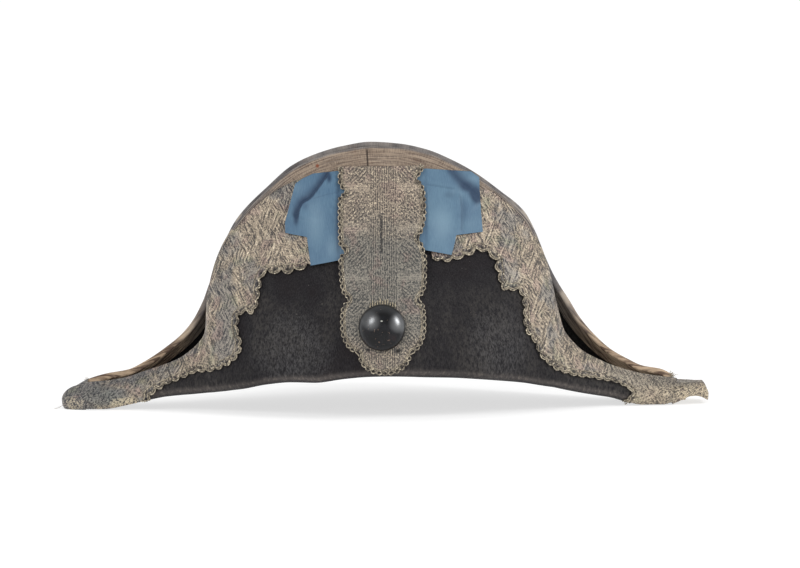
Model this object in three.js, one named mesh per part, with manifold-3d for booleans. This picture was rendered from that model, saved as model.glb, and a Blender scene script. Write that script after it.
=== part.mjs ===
// Bicorne hat in millimetres: X runs from horn to horn, the front faces -Y and Z is up.
// The hat stands on the flattened undersides of its two horns, at Z = 0.

import * as THREE from 'three';
import { mergeVertices } from 'three/addons/utils/BufferGeometryUtils.js';
import Module from 'manifold-3d';

const wasm = await Module();
wasm.setup();

// Driving sizes of the felt
const hatHalfLength = 215;
const hatHeight = 175;
const foldHalfDepth = 87;
const foldArch = 28.5;
const rimHalfGap = 20;
const feltWall = 2.5;
const foldRadius = 5;
const crownHalfLength = 105;
const crownHeight = 104;
const crownRunOut = 24;
const restBand = 0.15;

// Driving sizes of the trimmings
const seatGap = 0.3;
const laceWall = 1.2;
const bindingWall = 0.8;
const bindingWidth = 11.5;
const backBindingWidth = 5.5;
const ribbonWall = 1;
const trimMargin = 0.4;
const buttonRadius = 15.1;
const buttonRise = 8.6;
const buttonRim = 1.4;
const buttonHeight = 59.4;
const buttonOffset = -1;
const laceFoot = 0.5;

// Mesh fineness
const leafSteps = 7;
const bendSteps = 3;
const crownSteps = 10;
const buttonRings = 6;
const buttonSides = 24;

// Sections of the hat from the left horn to the right horn, as shares: at of hatHalfLength,
// foldDepth of foldHalfDepth, foldLift of foldArch, both tops of hatHeight, rimGap of rimHalfGap
const sectionColumns = ['at', 'foldDepth', 'foldLift', 'frontTop', 'backTop', 'rimGap'];
const sectionRows = [
  [-1.00, 0.10, 0.05, 0.055, 0.050, 0.17],
  [-0.965, 0.155, 0, 0.077, 0.071, 0.17],
  [-0.92, 0.19, 0, 0.088, 0.100, 0.20],
  [-0.87, 0.20, 0, 0.094, 0.118, 0.28],
  [-0.80, 0.21, 0.09, 0.109, 0.133, 0.42],
  [-0.74, 0.24, 0.21, 0.133, 0.169, 0.55],
  [-0.68, 0.28, 0.32, 0.158, 0.217, 0.70],
  [-0.63, 0.33, 0.37, 0.185, 0.266, 0.82],
  [-0.59, 0.375, 0.40, 0.220, 0.326, 0.92],
  [-0.56, 0.415, 0.43, 0.257, 0.411, 1.00],
  [-0.54, 0.44, 0.45, 0.300, 0.480, 1.00],
  [-0.53, 0.46, 0.46, 0.434, 0.511, 1.00],
  [-0.51, 0.495, 0.485, 0.554, 0.563, 1.00],
  [-0.487, 0.528, 0.513, 0.632, 0.641, 0.97],
  [-0.46, 0.567, 0.55, 0.684, 0.697, 0.94],
  [-0.43, 0.61, 0.59, 0.733, 0.745, 0.91],
  [-0.36, 0.713, 0.72, 0.821, 0.829, 0.88],
  [-0.28, 0.816, 0.81, 0.900, 0.912, 0.87],
  [-0.205, 0.89, 0.83, 0.947, 0.954, 0.88],
  [-0.12, 0.954, 0.92, 0.976, 0.983, 0.90],
  [-0.04, 0.994, 0.98, 0.988, 0.997, 0.90],
  [0.05, 1.00, 1.00, 0.984, 0.990, 0.90],
  [0.13, 0.977, 0.975, 0.963, 0.969, 0.90],
  [0.21, 0.93, 0.94, 0.922, 0.927, 0.88],
  [0.28, 0.874, 0.885, 0.875, 0.879, 0.87],
  [0.36, 0.776, 0.79, 0.806, 0.806, 0.87],
  [0.43, 0.667, 0.69, 0.723, 0.731, 0.91],
  [0.465, 0.603, 0.625, 0.640, 0.651, 0.95],
  [0.49, 0.57, 0.585, 0.546, 0.571, 1.00],
  [0.515, 0.53, 0.545, 0.420, 0.517, 1.00],
  [0.54, 0.489, 0.49, 0.304, 0.474, 1.00],
  [0.565, 0.448, 0.435, 0.257, 0.423, 1.00],
  [0.60, 0.39, 0.36, 0.211, 0.347, 0.95],
  [0.65, 0.32, 0.27, 0.175, 0.265, 0.85],
  [0.70, 0.26, 0.19, 0.147, 0.205, 0.70],
  [0.75, 0.22, 0.07, 0.126, 0.160, 0.56],
  [0.80, 0.21, 0, 0.108, 0.131, 0.42],
  [0.86, 0.20, 0, 0.093, 0.118, 0.28],
  [0.91, 0.18, 0.12, 0.084, 0.086, 0.20],
  [0.96, 0.145, 0.14, 0.080, 0.075, 0.17],
  [1.00, 0.10, 0.09, 0.054, 0.051, 0.17],
];

// Width of the front binding along the rim, as a share of bindingWidth
const bindingColumns = ['at', 'width'];
const bindingRows = [
  [-0.93, 0.15],
  [-0.43, 0.15],
  [-0.35, 0.30],
  [-0.27, 0.65],
  [-0.20, 1.00],
  [0.20, 1.00],
  [0.29, 0.65],
  [0.34, 0.15],
  [0.90, 0.15],
];
const backBindingEnds = [-0.93, 0.89];

// Outlines seen from the front, as shares of hatHalfLength and hatHeight
const outlineColumns = ['at', 'up'];
const leftLaceRows = [
  [-0.20, 0.86],
  [-0.20, 0.60],
  [-0.225, 0.561],
  [-0.28, 0.542],
  [-0.345, 0.537],
  [-0.37, 0.53],
  [-0.378, 0.483],
  [-0.38, 0.442],
  [-0.40, 0.385],
  [-0.424, 0.387],
  [-0.446, 0.371],
  [-0.447, 0.317],
  [-0.432, 0.265],
  [-0.451, 0.211],
  [-0.52, 0.165],
  [-0.569, 0.159],
  [-0.638, 0.118],
  [-0.707, 0.067],
  [-0.717, 0.03],
];
const rightLaceRows = [
  [0.145, 0.86],
  [0.145, 0.589],
  [0.185, 0.58],
  [0.231, 0.586],
  [0.268, 0.609],
  [0.299, 0.618],
  [0.34, 0.58],
  [0.347, 0.533],
  [0.352, 0.493],
  [0.367, 0.464],
  [0.408, 0.468],
  [0.426, 0.432],
  [0.425, 0.327],
  [0.462, 0.261],
  [0.474, 0.213],
  [0.521, 0.163],
  [0.578, 0.134],
  [0.645, 0.116],
  [0.726, 0.093],
  [0.765, 0.049],
  [0.737, 0.02],
];
const leftRibbonRows = [
  [-0.268, 0.857],
  [-0.244, 0.877],
  [-0.213, 0.894],
  [-0.13, 0.905],
  [-0.11, 0.90],
  [-0.11, 0.59],
  [-0.219, 0.563],
  [-0.231, 0.665],
  [-0.297, 0.678],
  [-0.299, 0.714],
];
const rightRibbonRows = [
  [0.10, 0.905],
  [0.131, 0.91],
  [0.27, 0.895],
  [0.295, 0.873],
  [0.295, 0.841],
  [0.298, 0.748],
  [0.302, 0.676],
  [0.221, 0.668],
  [0.215, 0.637],
  [0.205, 0.598],
  [0.10, 0.625],
];

// Both edges of the centre strap, as shares of hatHeight and hatHalfLength
const strapColumns = ['up', 'left', 'right'];
const strapRows = [
  [0.92, -0.137, 0.129],
  [0.876, -0.139, 0.108],
  [0.828, -0.119, 0.129],
  [0.778, -0.140, 0.131],
  [0.735, -0.138, 0.131],
  [0.665, -0.137, 0.110],
  [0.617, -0.119, 0.127],
  [0.58, -0.137, 0.132],
  [0.49, -0.131, 0.130],
  [0.445, -0.109, 0.108],
  [0.405, -0.130, 0.127],
  [0.32, -0.130, 0.127],
  [0.273, -0.107, 0.106],
  [0.24, -0.070, 0.079],
  [0.20, -0.060, 0.060],
  [0.18, -0.035, 0.032],
];
const ribbonFoot = 0.563;
const strapTip = 0.172;

// Distances of the trimmings from the middle of the felt
const feltFace = feltWall / 2;
const trimSeat = feltFace + seatGap;
const laceFace = trimSeat + laceWall;
const bindingFace = trimSeat + bindingWall;
const ribbonSeat = laceFace + seatGap;
const ribbonFace = ribbonSeat + ribbonWall;
const strapOverRibbon = ribbonFace + seatGap;

function rowsToObjects(columns, rows) {
  return rows.map((row) => Object.fromEntries(columns.map((name, index) => [name, row[index]])));
}

// Straight line through a table's values at one place
function readTable(table, place, column) {
  const last = table.length - 1;
  const next = table.findIndex((row) => row.at >= place);
  const upper = next < 0 ? last : Math.max(next, 1);
  const from = table[upper - 1];
  const to = table[upper];
  const share = THREE.MathUtils.clamp((place - from.at) / (to.at - from.at), 0, 1);
  return THREE.MathUtils.lerp(from[column], to[column], share);
}

const sections = rowsToObjects(sectionColumns, sectionRows).map((row) => {
  const rimStand = seatGap + bindingWall;
  const foldBottom = row.foldLift * foldArch + feltFace;
  const frontTop = row.frontTop * hatHeight - rimStand;
  const backTop = row.backTop * hatHeight - rimStand;
  const lowTop = Math.min(frontTop, backTop);
  return {
    at: row.at,
    x: row.at * hatHalfLength,
    depth: row.foldDepth * foldHalfDepth,
    bottom: foldBottom,
    radius: Math.min(foldRadius, 0.35 * (lowTop - foldBottom)),
    tops: { front: frontTop, back: backTop },
    rimGap: row.rimGap * rimHalfGap,
  };
});

// A leaf leans in from the fold towards the rim, bulging over the head on the way
function leafDepth(section, top, z) {
  const foot = section.bottom + section.radius;
  const share = THREE.MathUtils.clamp((z - foot) / (top - foot), 0, 1);
  const square = share * share;
  const cube = square * share;
  const rimSlope = -1.35;
  const lean = 2 * cube - 3 * square + 1 + rimSlope * (cube - square);
  return section.rimGap + (section.depth - section.rimGap) * lean;
}

// One leaf from its rim down to the fold, then round the fold to the start of the crown;
// side is -1 for the front and 1 for the back
function leafPath(section, top, side, crownShare) {
  const foot = section.bottom + section.radius;
  const path = [];
  for (let step = 0; step <= leafSteps; step += 1) {
    const z = THREE.MathUtils.lerp(top, foot, step / leafSteps);
    path.push(new THREE.Vector3(section.x, side * leafDepth(section, top, z), z));
  }
  const middle = section.depth - section.radius;
  for (let step = 1; step <= bendSteps; step += 1) {
    const angle = (step / bendSteps) * Math.PI / 2;
    const depth = middle + section.radius * Math.cos(angle);
    path.push(new THREE.Vector3(section.x, side * depth, foot - section.radius * Math.sin(angle)));
  }
  const run = Math.min(section.radius * Math.PI / 2, 0.6 * middle);
  for (let step = 1; step <= bendSteps; step += 1) {
    const share = step / bendSteps;
    const turn = Math.max(crownShare, 0.001) * share * Math.PI / 2;
    const depth = middle - run * share * Math.sin(turn) / turn;
    const z = section.bottom + run * share * (1 - Math.cos(turn)) / turn;
    path.push(new THREE.Vector3(section.x, side * depth, z));
  }
  return path;
}

// Front leaf, fold, crown or horn floor, fold and back leaf, in one path;
// towards the horns the crown's arch narrows, which rounds its ends
function sectionPath(section) {
  const inside = THREE.MathUtils.clamp((crownHalfLength - Math.abs(section.x)) / crownRunOut, 0, 1);
  const crownShare = THREE.MathUtils.smoothstep(inside, 0, 1);
  const front = leafPath(section, section.tops.front, -1, crownShare);
  const back = leafPath(section, section.tops.back, 1, crownShare);
  const from = front[front.length - 1];
  const reach = Math.min(Math.abs(section.x) / crownHalfLength, 1);
  const rise = crownHeight * Math.pow(1 - Math.pow(reach, 2.3), 1 / 2.3);
  const flank = 0.62 + 4 * Math.pow(reach, 6);
  const lowTop = Math.min(section.tops.front, section.tops.back);
  const roomAt = (z) => leafDepth(section, lowTop, z) - 2 * section.radius;
  const crown = [];
  for (let step = 1; step < crownSteps; step += 1) {
    const angle = (step / crownSteps) * Math.PI;
    const z = from.z + rise * Math.pow(Math.sin(angle), flank);
    const across = Math.sign(Math.cos(angle)) * Math.pow(Math.abs(Math.cos(angle)), 0.62);
    const room = rise > 0 ? Math.min(roomAt(z) / roomAt(from.z), 1) : 1;
    crown.push(new THREE.Vector3(section.x, from.y * across * room, z));
  }
  return [...front, ...crown, ...back.reverse()];
}

// Each point carries the outward direction of the sheet, taken from its neighbours
function withNormals(columns) {
  return columns.map((column, i) => column.map((point, j) => {
    const left = columns[Math.max(i - 1, 0)][j];
    const right = columns[Math.min(i + 1, columns.length - 1)][j];
    const before = column[Math.max(j - 1, 0)];
    const after = column[Math.min(j + 1, column.length - 1)];
    const across = new THREE.Vector3().subVectors(right, left);
    const along = new THREE.Vector3().subVectors(after, before);
    return { point, normal: along.cross(across).normalize() };
  }));
}

// The sheet moved out by a distance
function offsetSheet(sheet, distance) {
  const distanceAt = typeof distance === 'function' ? distance : () => distance;
  return sheet.map((column) => column.map(({ point, normal }) => (
    point.clone().addScaledVector(normal, distanceAt(point)))));
}

// The same for one leaf, whose rim also reaches out across the rim line;
// the front leaf (side -1) starts at its rim and the back leaf ends there
function offsetPastRim(sheet, side, distance, beyond) {
  const last = sheet.length - 1;
  const rimRow = side < 0 ? 0 : sheet[0].length - 1;
  const moved = offsetSheet(sheet, distance);
  sheet.forEach((column, i) => {
    const rim = new THREE.Vector3().subVectors(
      sheet[Math.min(i + 1, last)][rimRow].point,
      sheet[Math.max(i - 1, 0)][rimRow].point,
    );
    const outward = rim.cross(column[rimRow].normal).normalize();
    moved[i][rimRow].addScaledVector(outward, side * beyond);
  });
  return moved;
}

// A closed solid between two sheets of the same layout; the first one faces outwards
function solidBetween(outer, inner) {
  const columns = outer.length;
  const rows = outer[0].length;
  const positions = [...outer.flat(), ...inner.flat()].flatMap((point) => point.toArray());
  const onOuter = (i, j) => i * rows + j;
  const onInner = (i, j) => columns * rows + i * rows + j;
  const faces = [];
  for (let i = 0; i < columns - 1; i += 1) {
    for (let j = 0; j < rows - 1; j += 1) {
      faces.push(onOuter(i, j), onOuter(i, j + 1), onOuter(i + 1, j));
      faces.push(onOuter(i, j + 1), onOuter(i + 1, j + 1), onOuter(i + 1, j));
      faces.push(onInner(i, j), onInner(i + 1, j), onInner(i, j + 1));
      faces.push(onInner(i, j + 1), onInner(i + 1, j), onInner(i + 1, j + 1));
    }
  }
  const border = [];
  for (let j = 0; j < rows - 1; j += 1) border.push([0, j]);
  for (let i = 0; i < columns - 1; i += 1) border.push([i, rows - 1]);
  for (let j = rows - 1; j > 0; j -= 1) border.push([columns - 1, j]);
  for (let i = columns - 1; i > 0; i -= 1) border.push([i, 0]);
  border.forEach((place, index) => {
    const next = border[(index + 1) % border.length];
    faces.push(onOuter(...next), onOuter(...place), onInner(...place));
    faces.push(onOuter(...next), onInner(...place), onInner(...next));
  });
  const geometry = new THREE.BufferGeometry();
  geometry.setAttribute('position', new THREE.Float32BufferAttribute(positions, 3));
  geometry.setIndex(faces);
  return geometry;
}

function toManifold(geometry) {
  const bare = geometry.clone();
  bare.deleteAttribute('normal');
  bare.deleteAttribute('uv');
  const merged = mergeVertices(bare, 1e-4);
  return new wasm.Manifold(new wasm.Mesh({
    numProp: 3,
    vertProperties: new Float32Array(merged.attributes.position.array),
    triVerts: new Uint32Array(merged.index.array),
  }));
}

function toGeometry(solid) {
  const mesh = solid.getMesh();
  const geometry = new THREE.BufferGeometry();
  geometry.setAttribute('position', new THREE.BufferAttribute(mesh.vertProperties, 3));
  geometry.setIndex(new THREE.BufferAttribute(mesh.triVerts, 1));
  return geometry;
}

// A prism through the hat in Y, with an outline given in X and Z
function prismThrough(outline, side) {
  const shape = new THREE.Shape(outline.map(([x, z]) => new THREE.Vector2(x, z)));
  const geometry = new THREE.ExtrudeGeometry(shape, { depth: 2 * foldHalfDepth, bevelEnabled: false });
  geometry.rotateX(Math.PI / 2);
  geometry.translate(0, side > 0 ? 2 * foldHalfDepth : 0, 0);
  return toManifold(geometry);
}

const feltSheet = withNormals(sections.map(sectionPath));
const leafRows = leafSteps + bendSteps + 1;
const frontSheet = feltSheet.map((column) => column.slice(0, leafRows));
const backSheet = feltSheet.map((column) => column.slice(-leafRows));

// The rim line of one leaf between two places, moved inwards across the leaf by a width
function rimLine(sheet, side, from, to, widthAt) {
  const rims = sheet.map((column) => column.at(side < 0 ? 0 : -1).point);
  const inside = sections
    .map((section, index) => ({ at: section.at, index }))
    .filter(({ at }) => at > from && at < to);
  const line = inside.map(({ at, index }) => {
    const before = rims[index - 1];
    const after = rims[index + 1];
    const length = Math.hypot(after.x - before.x, after.z - before.z);
    const width = widthAt(at);
    const x = rims[index].x + width * (after.z - before.z) / length;
    return [x, rims[index].z - width * (after.x - before.x) / length];
  });
  return line;
}

const bindingTable = rowsToObjects(bindingColumns, bindingRows);
const frontBindingAt = (at) => readTable(bindingTable, at, 'width') * bindingWidth;

// A ribbon folded over a rim: a band of a shell round the leaf, less the leaf's own room
function makeBinding(sheet, side, from, to, widthAt) {
  const build = (away, beyond) => toManifold(solidBetween(
    offsetPastRim(sheet, side, away, beyond),
    offsetPastRim(sheet, side, -away, beyond),
  ));
  const ribbon = build(bindingFace, seatGap + bindingWall);
  const leafRoom = build(trimSeat, seatGap);
  const reach = 4 * bindingWall;
  const above = rimLine(sheet, side, from, to, () => -reach);
  const below = rimLine(sheet, side, from, to, widthAt);
  const band = prismThrough([...above, ...below.reverse()], side);
  return toGeometry(ribbon.subtract(leafRoom).intersect(band));
}

function outlineOf(rows) {
  return rowsToObjects(outlineColumns, rows)
    .map(({ at, up }) => [at * hatHalfLength, up * hatHeight]);
}

// A flat trimming laid on the front leaf: a layer of its wall cut to its outline
function layOnLeaf(outline, near, far) {
  const layer = toManifold(solidBetween(offsetSheet(frontSheet, far), offsetSheet(frontSheet, near)));
  return toGeometry(layer.intersect(prismThrough(outline, -1)));
}

// Lace fills the space between the binding, its own inner edge and the underside of the horn
function makeEdgeLace(rows, side) {
  const inner = outlineOf(rows);
  const [start] = rows[0];
  const tip = side * 1.1;
  const widthAt = (at) => frontBindingAt(at) + trimMargin;
  const upper = side < 0
    ? rimLine(frontSheet, -1, -0.99, start, widthAt)
    : rimLine(frontSheet, -1, start, 0.99, widthAt).reverse();
  const end = upper[0];
  const outline = [
    ...inner,
    [inner[inner.length - 1][0], laceFoot],
    [tip * hatHalfLength, laceFoot],
    [tip * hatHalfLength, end[1]],
    ...upper,
  ];
  return layOnLeaf(outline, trimSeat, laceFace);
}

function makeStrap() {
  const table = rowsToObjects(strapColumns, strapRows);
  const left = table.map((row) => [row.left * hatHalfLength, row.up * hatHeight]);
  const right = table.map((row) => [row.right * hatHalfLength, row.up * hatHeight]);
  const outline = [...left, [0, strapTip * hatHeight], ...right.reverse()];
  const stepBelow = ribbonFoot * hatHeight - (hatHeight - foldArch) / leafSteps;
  const seatAt = (point) => (point.z > stepBelow ? strapOverRibbon : trimSeat);
  return layOnLeaf(outline, seatAt, (point) => seatAt(point) + laceWall);
}

function makeFelt() {
  const geometry = solidBetween(offsetSheet(feltSheet, feltFace), offsetSheet(feltSheet, -feltFace));
  const position = geometry.attributes.position;
  for (let index = 0; index < position.count; index += 1) {
    if (position.getZ(index) < restBand) position.setZ(index, 0);
  }
  return geometry;
}

function makeButton() {
  const profile = [new THREE.Vector2(0, 0)];
  for (let ring = 0; ring <= buttonRings; ring += 1) {
    const angle = (ring / buttonRings) * Math.PI / 2;
    const radius = ring === buttonRings ? 0 : buttonRadius * Math.cos(angle);
    profile.push(new THREE.Vector2(radius, buttonRim + buttonRise * Math.sin(angle)));
  }
  profile.splice(1, 0, new THREE.Vector2(buttonRadius - buttonRim, 0));
  return new THREE.LatheGeometry(profile, buttonSides);
}

// The place on the front leaf under a point of the front view, with its outward direction
function placeOnFront(x, z) {
  const index = sections.findIndex((section) => section.x > x);
  const share = (x - sections[index - 1].x) / (sections[index].x - sections[index - 1].x);
  const depthAt = (height) => THREE.MathUtils.lerp(
    leafDepth(sections[index - 1], sections[index - 1].tops.front, height),
    leafDepth(sections[index], sections[index].tops.front, height),
    share,
  );
  const lean = depthAt(z - 1) - depthAt(z + 1);
  return {
    point: new THREE.Vector3(x, -depthAt(z), z),
    normal: new THREE.Vector3(0, -2, lean).normalize(),
  };
}

const feltFinish = { color: 0x282628, roughness: 0.92, metalness: 0 };
const laceFinish = { color: 0x8c8070, roughness: 0.62, metalness: 0.25 };
const bindingFinish = { color: 0x8a7765, roughness: 0.7, metalness: 0 };
const silkFinish = { color: 0x5f87aa, roughness: 0.45, metalness: 0 };
const buttonFinish = { color: 0x1e222a, roughness: 0.16, metalness: 0 };

function makeMesh(name, geometry, finish) {
  const mesh = new THREE.Mesh(geometry, new THREE.MeshStandardMaterial(finish));
  mesh.name = name;
  return mesh;
}

const bicorneHat = new THREE.Group();
bicorneHat.add(makeMesh('felt_body', makeFelt(), feltFinish));

const frontEnds = [bindingRows[0][0], bindingRows[bindingRows.length - 1][0]];
const frontBinding = makeBinding(frontSheet, -1, ...frontEnds, frontBindingAt);
bicorneHat.add(makeMesh('front_binding', frontBinding, bindingFinish));

const backBinding = makeBinding(backSheet, 1, ...backBindingEnds, () => backBindingWidth);
bicorneHat.add(makeMesh('back_binding', backBinding, bindingFinish));

bicorneHat.add(makeMesh('edge_lace_left', makeEdgeLace(leftLaceRows, -1), laceFinish));
bicorneHat.add(makeMesh('edge_lace_right', makeEdgeLace(rightLaceRows, 1), laceFinish));
bicorneHat.add(makeMesh('loop_lace', makeStrap(), laceFinish));

const leftRibbon = layOnLeaf(outlineOf(leftRibbonRows), ribbonSeat, ribbonFace);
const rightRibbon = layOnLeaf(outlineOf(rightRibbonRows), ribbonSeat, ribbonFace);
bicorneHat.add(makeMesh('ribbon_left', leftRibbon, silkFinish));
bicorneHat.add(makeMesh('ribbon_right', rightRibbon, silkFinish));

const buttonSeat = placeOnFront(buttonOffset, buttonHeight);
const button = makeMesh('button', makeButton(), buttonFinish);
button.position.copy(buttonSeat.point).addScaledVector(buttonSeat.normal, laceFace + seatGap);
button.quaternion.setFromUnitVectors(new THREE.Vector3(0, 1, 0), buttonSeat.normal);
bicorneHat.add(button);

// The frame's origin is under the middle of the whole hat
const middle = new THREE.Box3().setFromObject(bicorneHat, true).getCenter(new THREE.Vector3());
bicorneHat.position.set(-middle.x, -middle.y, 0);

export default bicorneHat;
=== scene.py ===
# A black felt bicorne hat with metal lace, ribbed bindings, silk ribbons and a domed button.
# Shapes are worked out in millimetres, from the same sizes as the CAD part, and made in metres.
import math
import bpy
import bmesh
import numpy as np
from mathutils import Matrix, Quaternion, Vector
from mathutils.geometry import delaunay_2d_cdt


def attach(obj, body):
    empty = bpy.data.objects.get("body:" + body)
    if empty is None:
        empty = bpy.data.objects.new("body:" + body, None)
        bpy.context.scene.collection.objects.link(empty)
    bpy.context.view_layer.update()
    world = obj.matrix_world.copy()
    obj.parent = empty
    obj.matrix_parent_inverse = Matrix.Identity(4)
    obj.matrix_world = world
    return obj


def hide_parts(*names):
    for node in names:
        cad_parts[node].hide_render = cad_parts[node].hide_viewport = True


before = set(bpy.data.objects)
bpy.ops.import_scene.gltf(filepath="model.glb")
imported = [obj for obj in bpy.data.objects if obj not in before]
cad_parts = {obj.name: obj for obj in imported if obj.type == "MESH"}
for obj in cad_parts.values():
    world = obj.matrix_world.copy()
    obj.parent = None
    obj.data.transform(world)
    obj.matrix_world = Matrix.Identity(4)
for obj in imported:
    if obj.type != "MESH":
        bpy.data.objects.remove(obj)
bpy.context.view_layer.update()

scene = bpy.context.scene

# Camera: level with the hat, a little above it, a long lens
cameraSizes = {
    "target": (0.0107, 0.00415, 0.0808),
    "distance": 2.0,
    "elevation": 5.0,
    "roll": -0.0084,
    "lens": 134.8,
}


def makeCamera(sizes):
    rise = math.radians(sizes["elevation"])
    back = Vector((0, -math.cos(rise), math.sin(rise)))
    data = bpy.data.cameras.new("camera")
    data.lens = sizes["lens"]
    data.sensor_width = 36
    data.clip_start = 0.05
    data.clip_end = 50
    camera = bpy.data.objects.new("camera", data)
    scene.collection.objects.link(camera)
    camera.location = Vector(sizes["target"]) + back * sizes["distance"]
    camera.rotation_mode = "QUATERNION"
    camera.rotation_quaternion = (-back).to_track_quat("-Z", "Y") @ Quaternion((0, 0, 1), sizes["roll"])
    scene.camera = camera


makeCamera(cameraSizes)
print("camera set")

# Felt body: the same sections as the CAD part
felt = {
    "halfLength": 215,
    "height": 175,
    "foldHalfDepth": 87,
    "foldArch": 28.5,
    "rimHalfGap": 20,
    "rimInset": 1.1,
    "wall": 2.5,
    "foldRadius": 5,
    "foldShare": 0.35,
    "crownHalfLength": 105,
    "crownHeight": 104,
    "crownRunOut": 24,
    "crownRound": 2.3,
    "waviness": 0.55,
    "shift": (0.1, 4.15),
}
# at, foldDepth, foldLift, frontTop, backTop, rimGap
sectionRows = [
    [-1.00, 0.10, 0.05, 0.055, 0.050, 0.17],
    [-0.965, 0.155, 0, 0.077, 0.071, 0.17],
    [-0.92, 0.19, 0, 0.088, 0.100, 0.20],
    [-0.87, 0.20, 0, 0.094, 0.118, 0.28],
    [-0.80, 0.21, 0.09, 0.109, 0.133, 0.42],
    [-0.74, 0.24, 0.21, 0.133, 0.169, 0.55],
    [-0.68, 0.28, 0.32, 0.158, 0.217, 0.70],
    [-0.63, 0.33, 0.37, 0.185, 0.266, 0.82],
    [-0.59, 0.375, 0.40, 0.220, 0.326, 0.92],
    [-0.56, 0.415, 0.43, 0.257, 0.398, 1.00],
    [-0.54, 0.44, 0.45, 0.300, 0.464, 1.00],
    [-0.53, 0.46, 0.46, 0.430, 0.496, 1.00],
    [-0.51, 0.495, 0.485, 0.541, 0.550, 1.00],
    [-0.487, 0.528, 0.513, 0.621, 0.630, 0.97],
    [-0.46, 0.567, 0.55, 0.684, 0.697, 0.94],
    [-0.43, 0.61, 0.59, 0.733, 0.745, 0.91],
    [-0.36, 0.713, 0.72, 0.821, 0.829, 0.88],
    [-0.28, 0.816, 0.81, 0.900, 0.912, 0.87],
    [-0.205, 0.89, 0.83, 0.947, 0.954, 0.88],
    [-0.12, 0.954, 0.92, 0.976, 0.983, 0.90],
    [-0.04, 0.994, 0.98, 0.988, 0.997, 0.90],
    [0.05, 1.00, 1.00, 0.984, 0.990, 0.90],
    [0.13, 0.977, 0.975, 0.963, 0.969, 0.90],
    [0.21, 0.93, 0.94, 0.922, 0.927, 0.88],
    [0.28, 0.874, 0.885, 0.875, 0.879, 0.87],
    [0.36, 0.776, 0.79, 0.806, 0.806, 0.87],
    [0.43, 0.667, 0.69, 0.723, 0.731, 0.91],
    [0.465, 0.603, 0.625, 0.640, 0.651, 0.95],
    [0.49, 0.57, 0.585, 0.546, 0.571, 1.00],
    [0.515, 0.53, 0.545, 0.405, 0.502, 1.00],
    [0.54, 0.489, 0.49, 0.292, 0.446, 1.00],
    [0.565, 0.448, 0.435, 0.250, 0.398, 1.00],
    [0.60, 0.39, 0.36, 0.209, 0.326, 0.95],
    [0.65, 0.32, 0.27, 0.175, 0.252, 0.85],
    [0.70, 0.26, 0.19, 0.147, 0.196, 0.70],
    [0.75, 0.22, 0.07, 0.126, 0.160, 0.56],
    [0.80, 0.21, 0, 0.108, 0.131, 0.42],
    [0.86, 0.20, 0, 0.093, 0.118, 0.28],
    [0.91, 0.18, 0.12, 0.084, 0.086, 0.20],
    [0.96, 0.145, 0.14, 0.080, 0.075, 0.17],
    [1.00, 0.10, 0.09, 0.054, 0.051, 0.17],
]


def smoothTable(rows):
    # a curve through the rows that never overshoots them
    table = np.array(rows, float)
    at, values = table[:, 0], table[:, 1:]
    step = np.diff(at)[:, None]
    slope = np.diff(values, axis=0) / step
    turn = np.zeros_like(values)
    turn[0], turn[-1] = slope[0], slope[-1]
    before, after = slope[:-1], slope[1:]
    w1, w2 = 2 * step[1:] + step[:-1], step[1:] + 2 * step[:-1]
    same = before * after > 0
    safe = np.where(same, w1 / np.where(same, before, 1) + w2 / np.where(same, after, 1), 1)
    turn[1:-1] = np.where(same, (w1 + w2) / safe, 0)

    def read(place):
        place = np.clip(np.asarray(place, float), at[0], at[-1])
        i = np.clip(np.searchsorted(at, place) - 1, 0, len(at) - 2)
        h = (at[i + 1] - at[i])[..., None]
        t = ((place - at[i])[..., None]) / h
        return ((2 * t**3 - 3 * t**2 + 1) * values[i] + (t**3 - 2 * t**2 + t) * h * turn[i]
                + (3 * t**2 - 2 * t**3) * values[i + 1] + (t**3 - t**2) * h * turn[i + 1])
    return read


readSections = smoothTable(sectionRows)


def sectionAt(x):
    values = readSections(np.asarray(x, float) / felt["halfLength"])
    bottom = values[..., 1] * felt["foldArch"] + felt["wall"] / 2
    front = values[..., 2] * felt["height"] - felt["rimInset"]
    back = values[..., 3] * felt["height"] - felt["rimInset"]
    return {
        "depth": values[..., 0] * felt["foldHalfDepth"],
        "bottom": bottom,
        "front": front,
        "back": back,
        "radius": np.minimum(felt["foldRadius"], felt["foldShare"] * (np.minimum(front, back) - bottom)),
        "gap": values[..., 4] * felt["rimHalfGap"],
    }


# How far a leaf leans out, from 1 at the fold to 0 at the rim, where it still leans by its slope
def leanAt(share, slope=1.35):
    within = np.clip(share, 0, 1)
    lean = 2 * within**3 - 3 * within**2 + 1 - slope * (within**3 - within**2)
    return lean - slope * np.maximum(share - 1, 0)


# A place on a leaf: down runs from 0 at the rim to 1 at the fold and 2 under it
def leafPoint(side, x, down):
    x, down = np.broadcast_arrays(np.asarray(x, float), np.asarray(down, float))
    s = sectionAt(x)
    top = s["front"] if side < 0 else s["back"]
    foot = s["bottom"] + s["radius"]
    share = 1 - np.minimum(down, 1)
    angle = np.clip(down - 1, 0, 1) * math.pi / 2
    onLeaf = s["gap"] + (s["depth"] - s["gap"]) * leanAt(share)
    onFold = s["depth"] - s["radius"] * (1 - np.cos(angle))
    depth = np.where(down > 1, onFold, onLeaf)
    z = np.where(down > 1, foot - s["radius"] * np.sin(angle), foot + (top - foot) * share)
    return np.stack([x, side * depth, z], -1)


def downAt(side, x, z):
    s = sectionAt(x)
    top = s["front"] if side < 0 else s["back"]
    foot = s["bottom"] + s["radius"]
    bend = np.arcsin(np.clip((foot - z) / s["radius"], 0, 0.999)) * 2 / math.pi
    return np.where(z >= foot, 1 - (z - foot) / (top - foot), 1 + bend)


def unit(vectors):
    return vectors / np.maximum(np.linalg.norm(vectors, axis=-1, keepdims=True), 1e-9)


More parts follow.
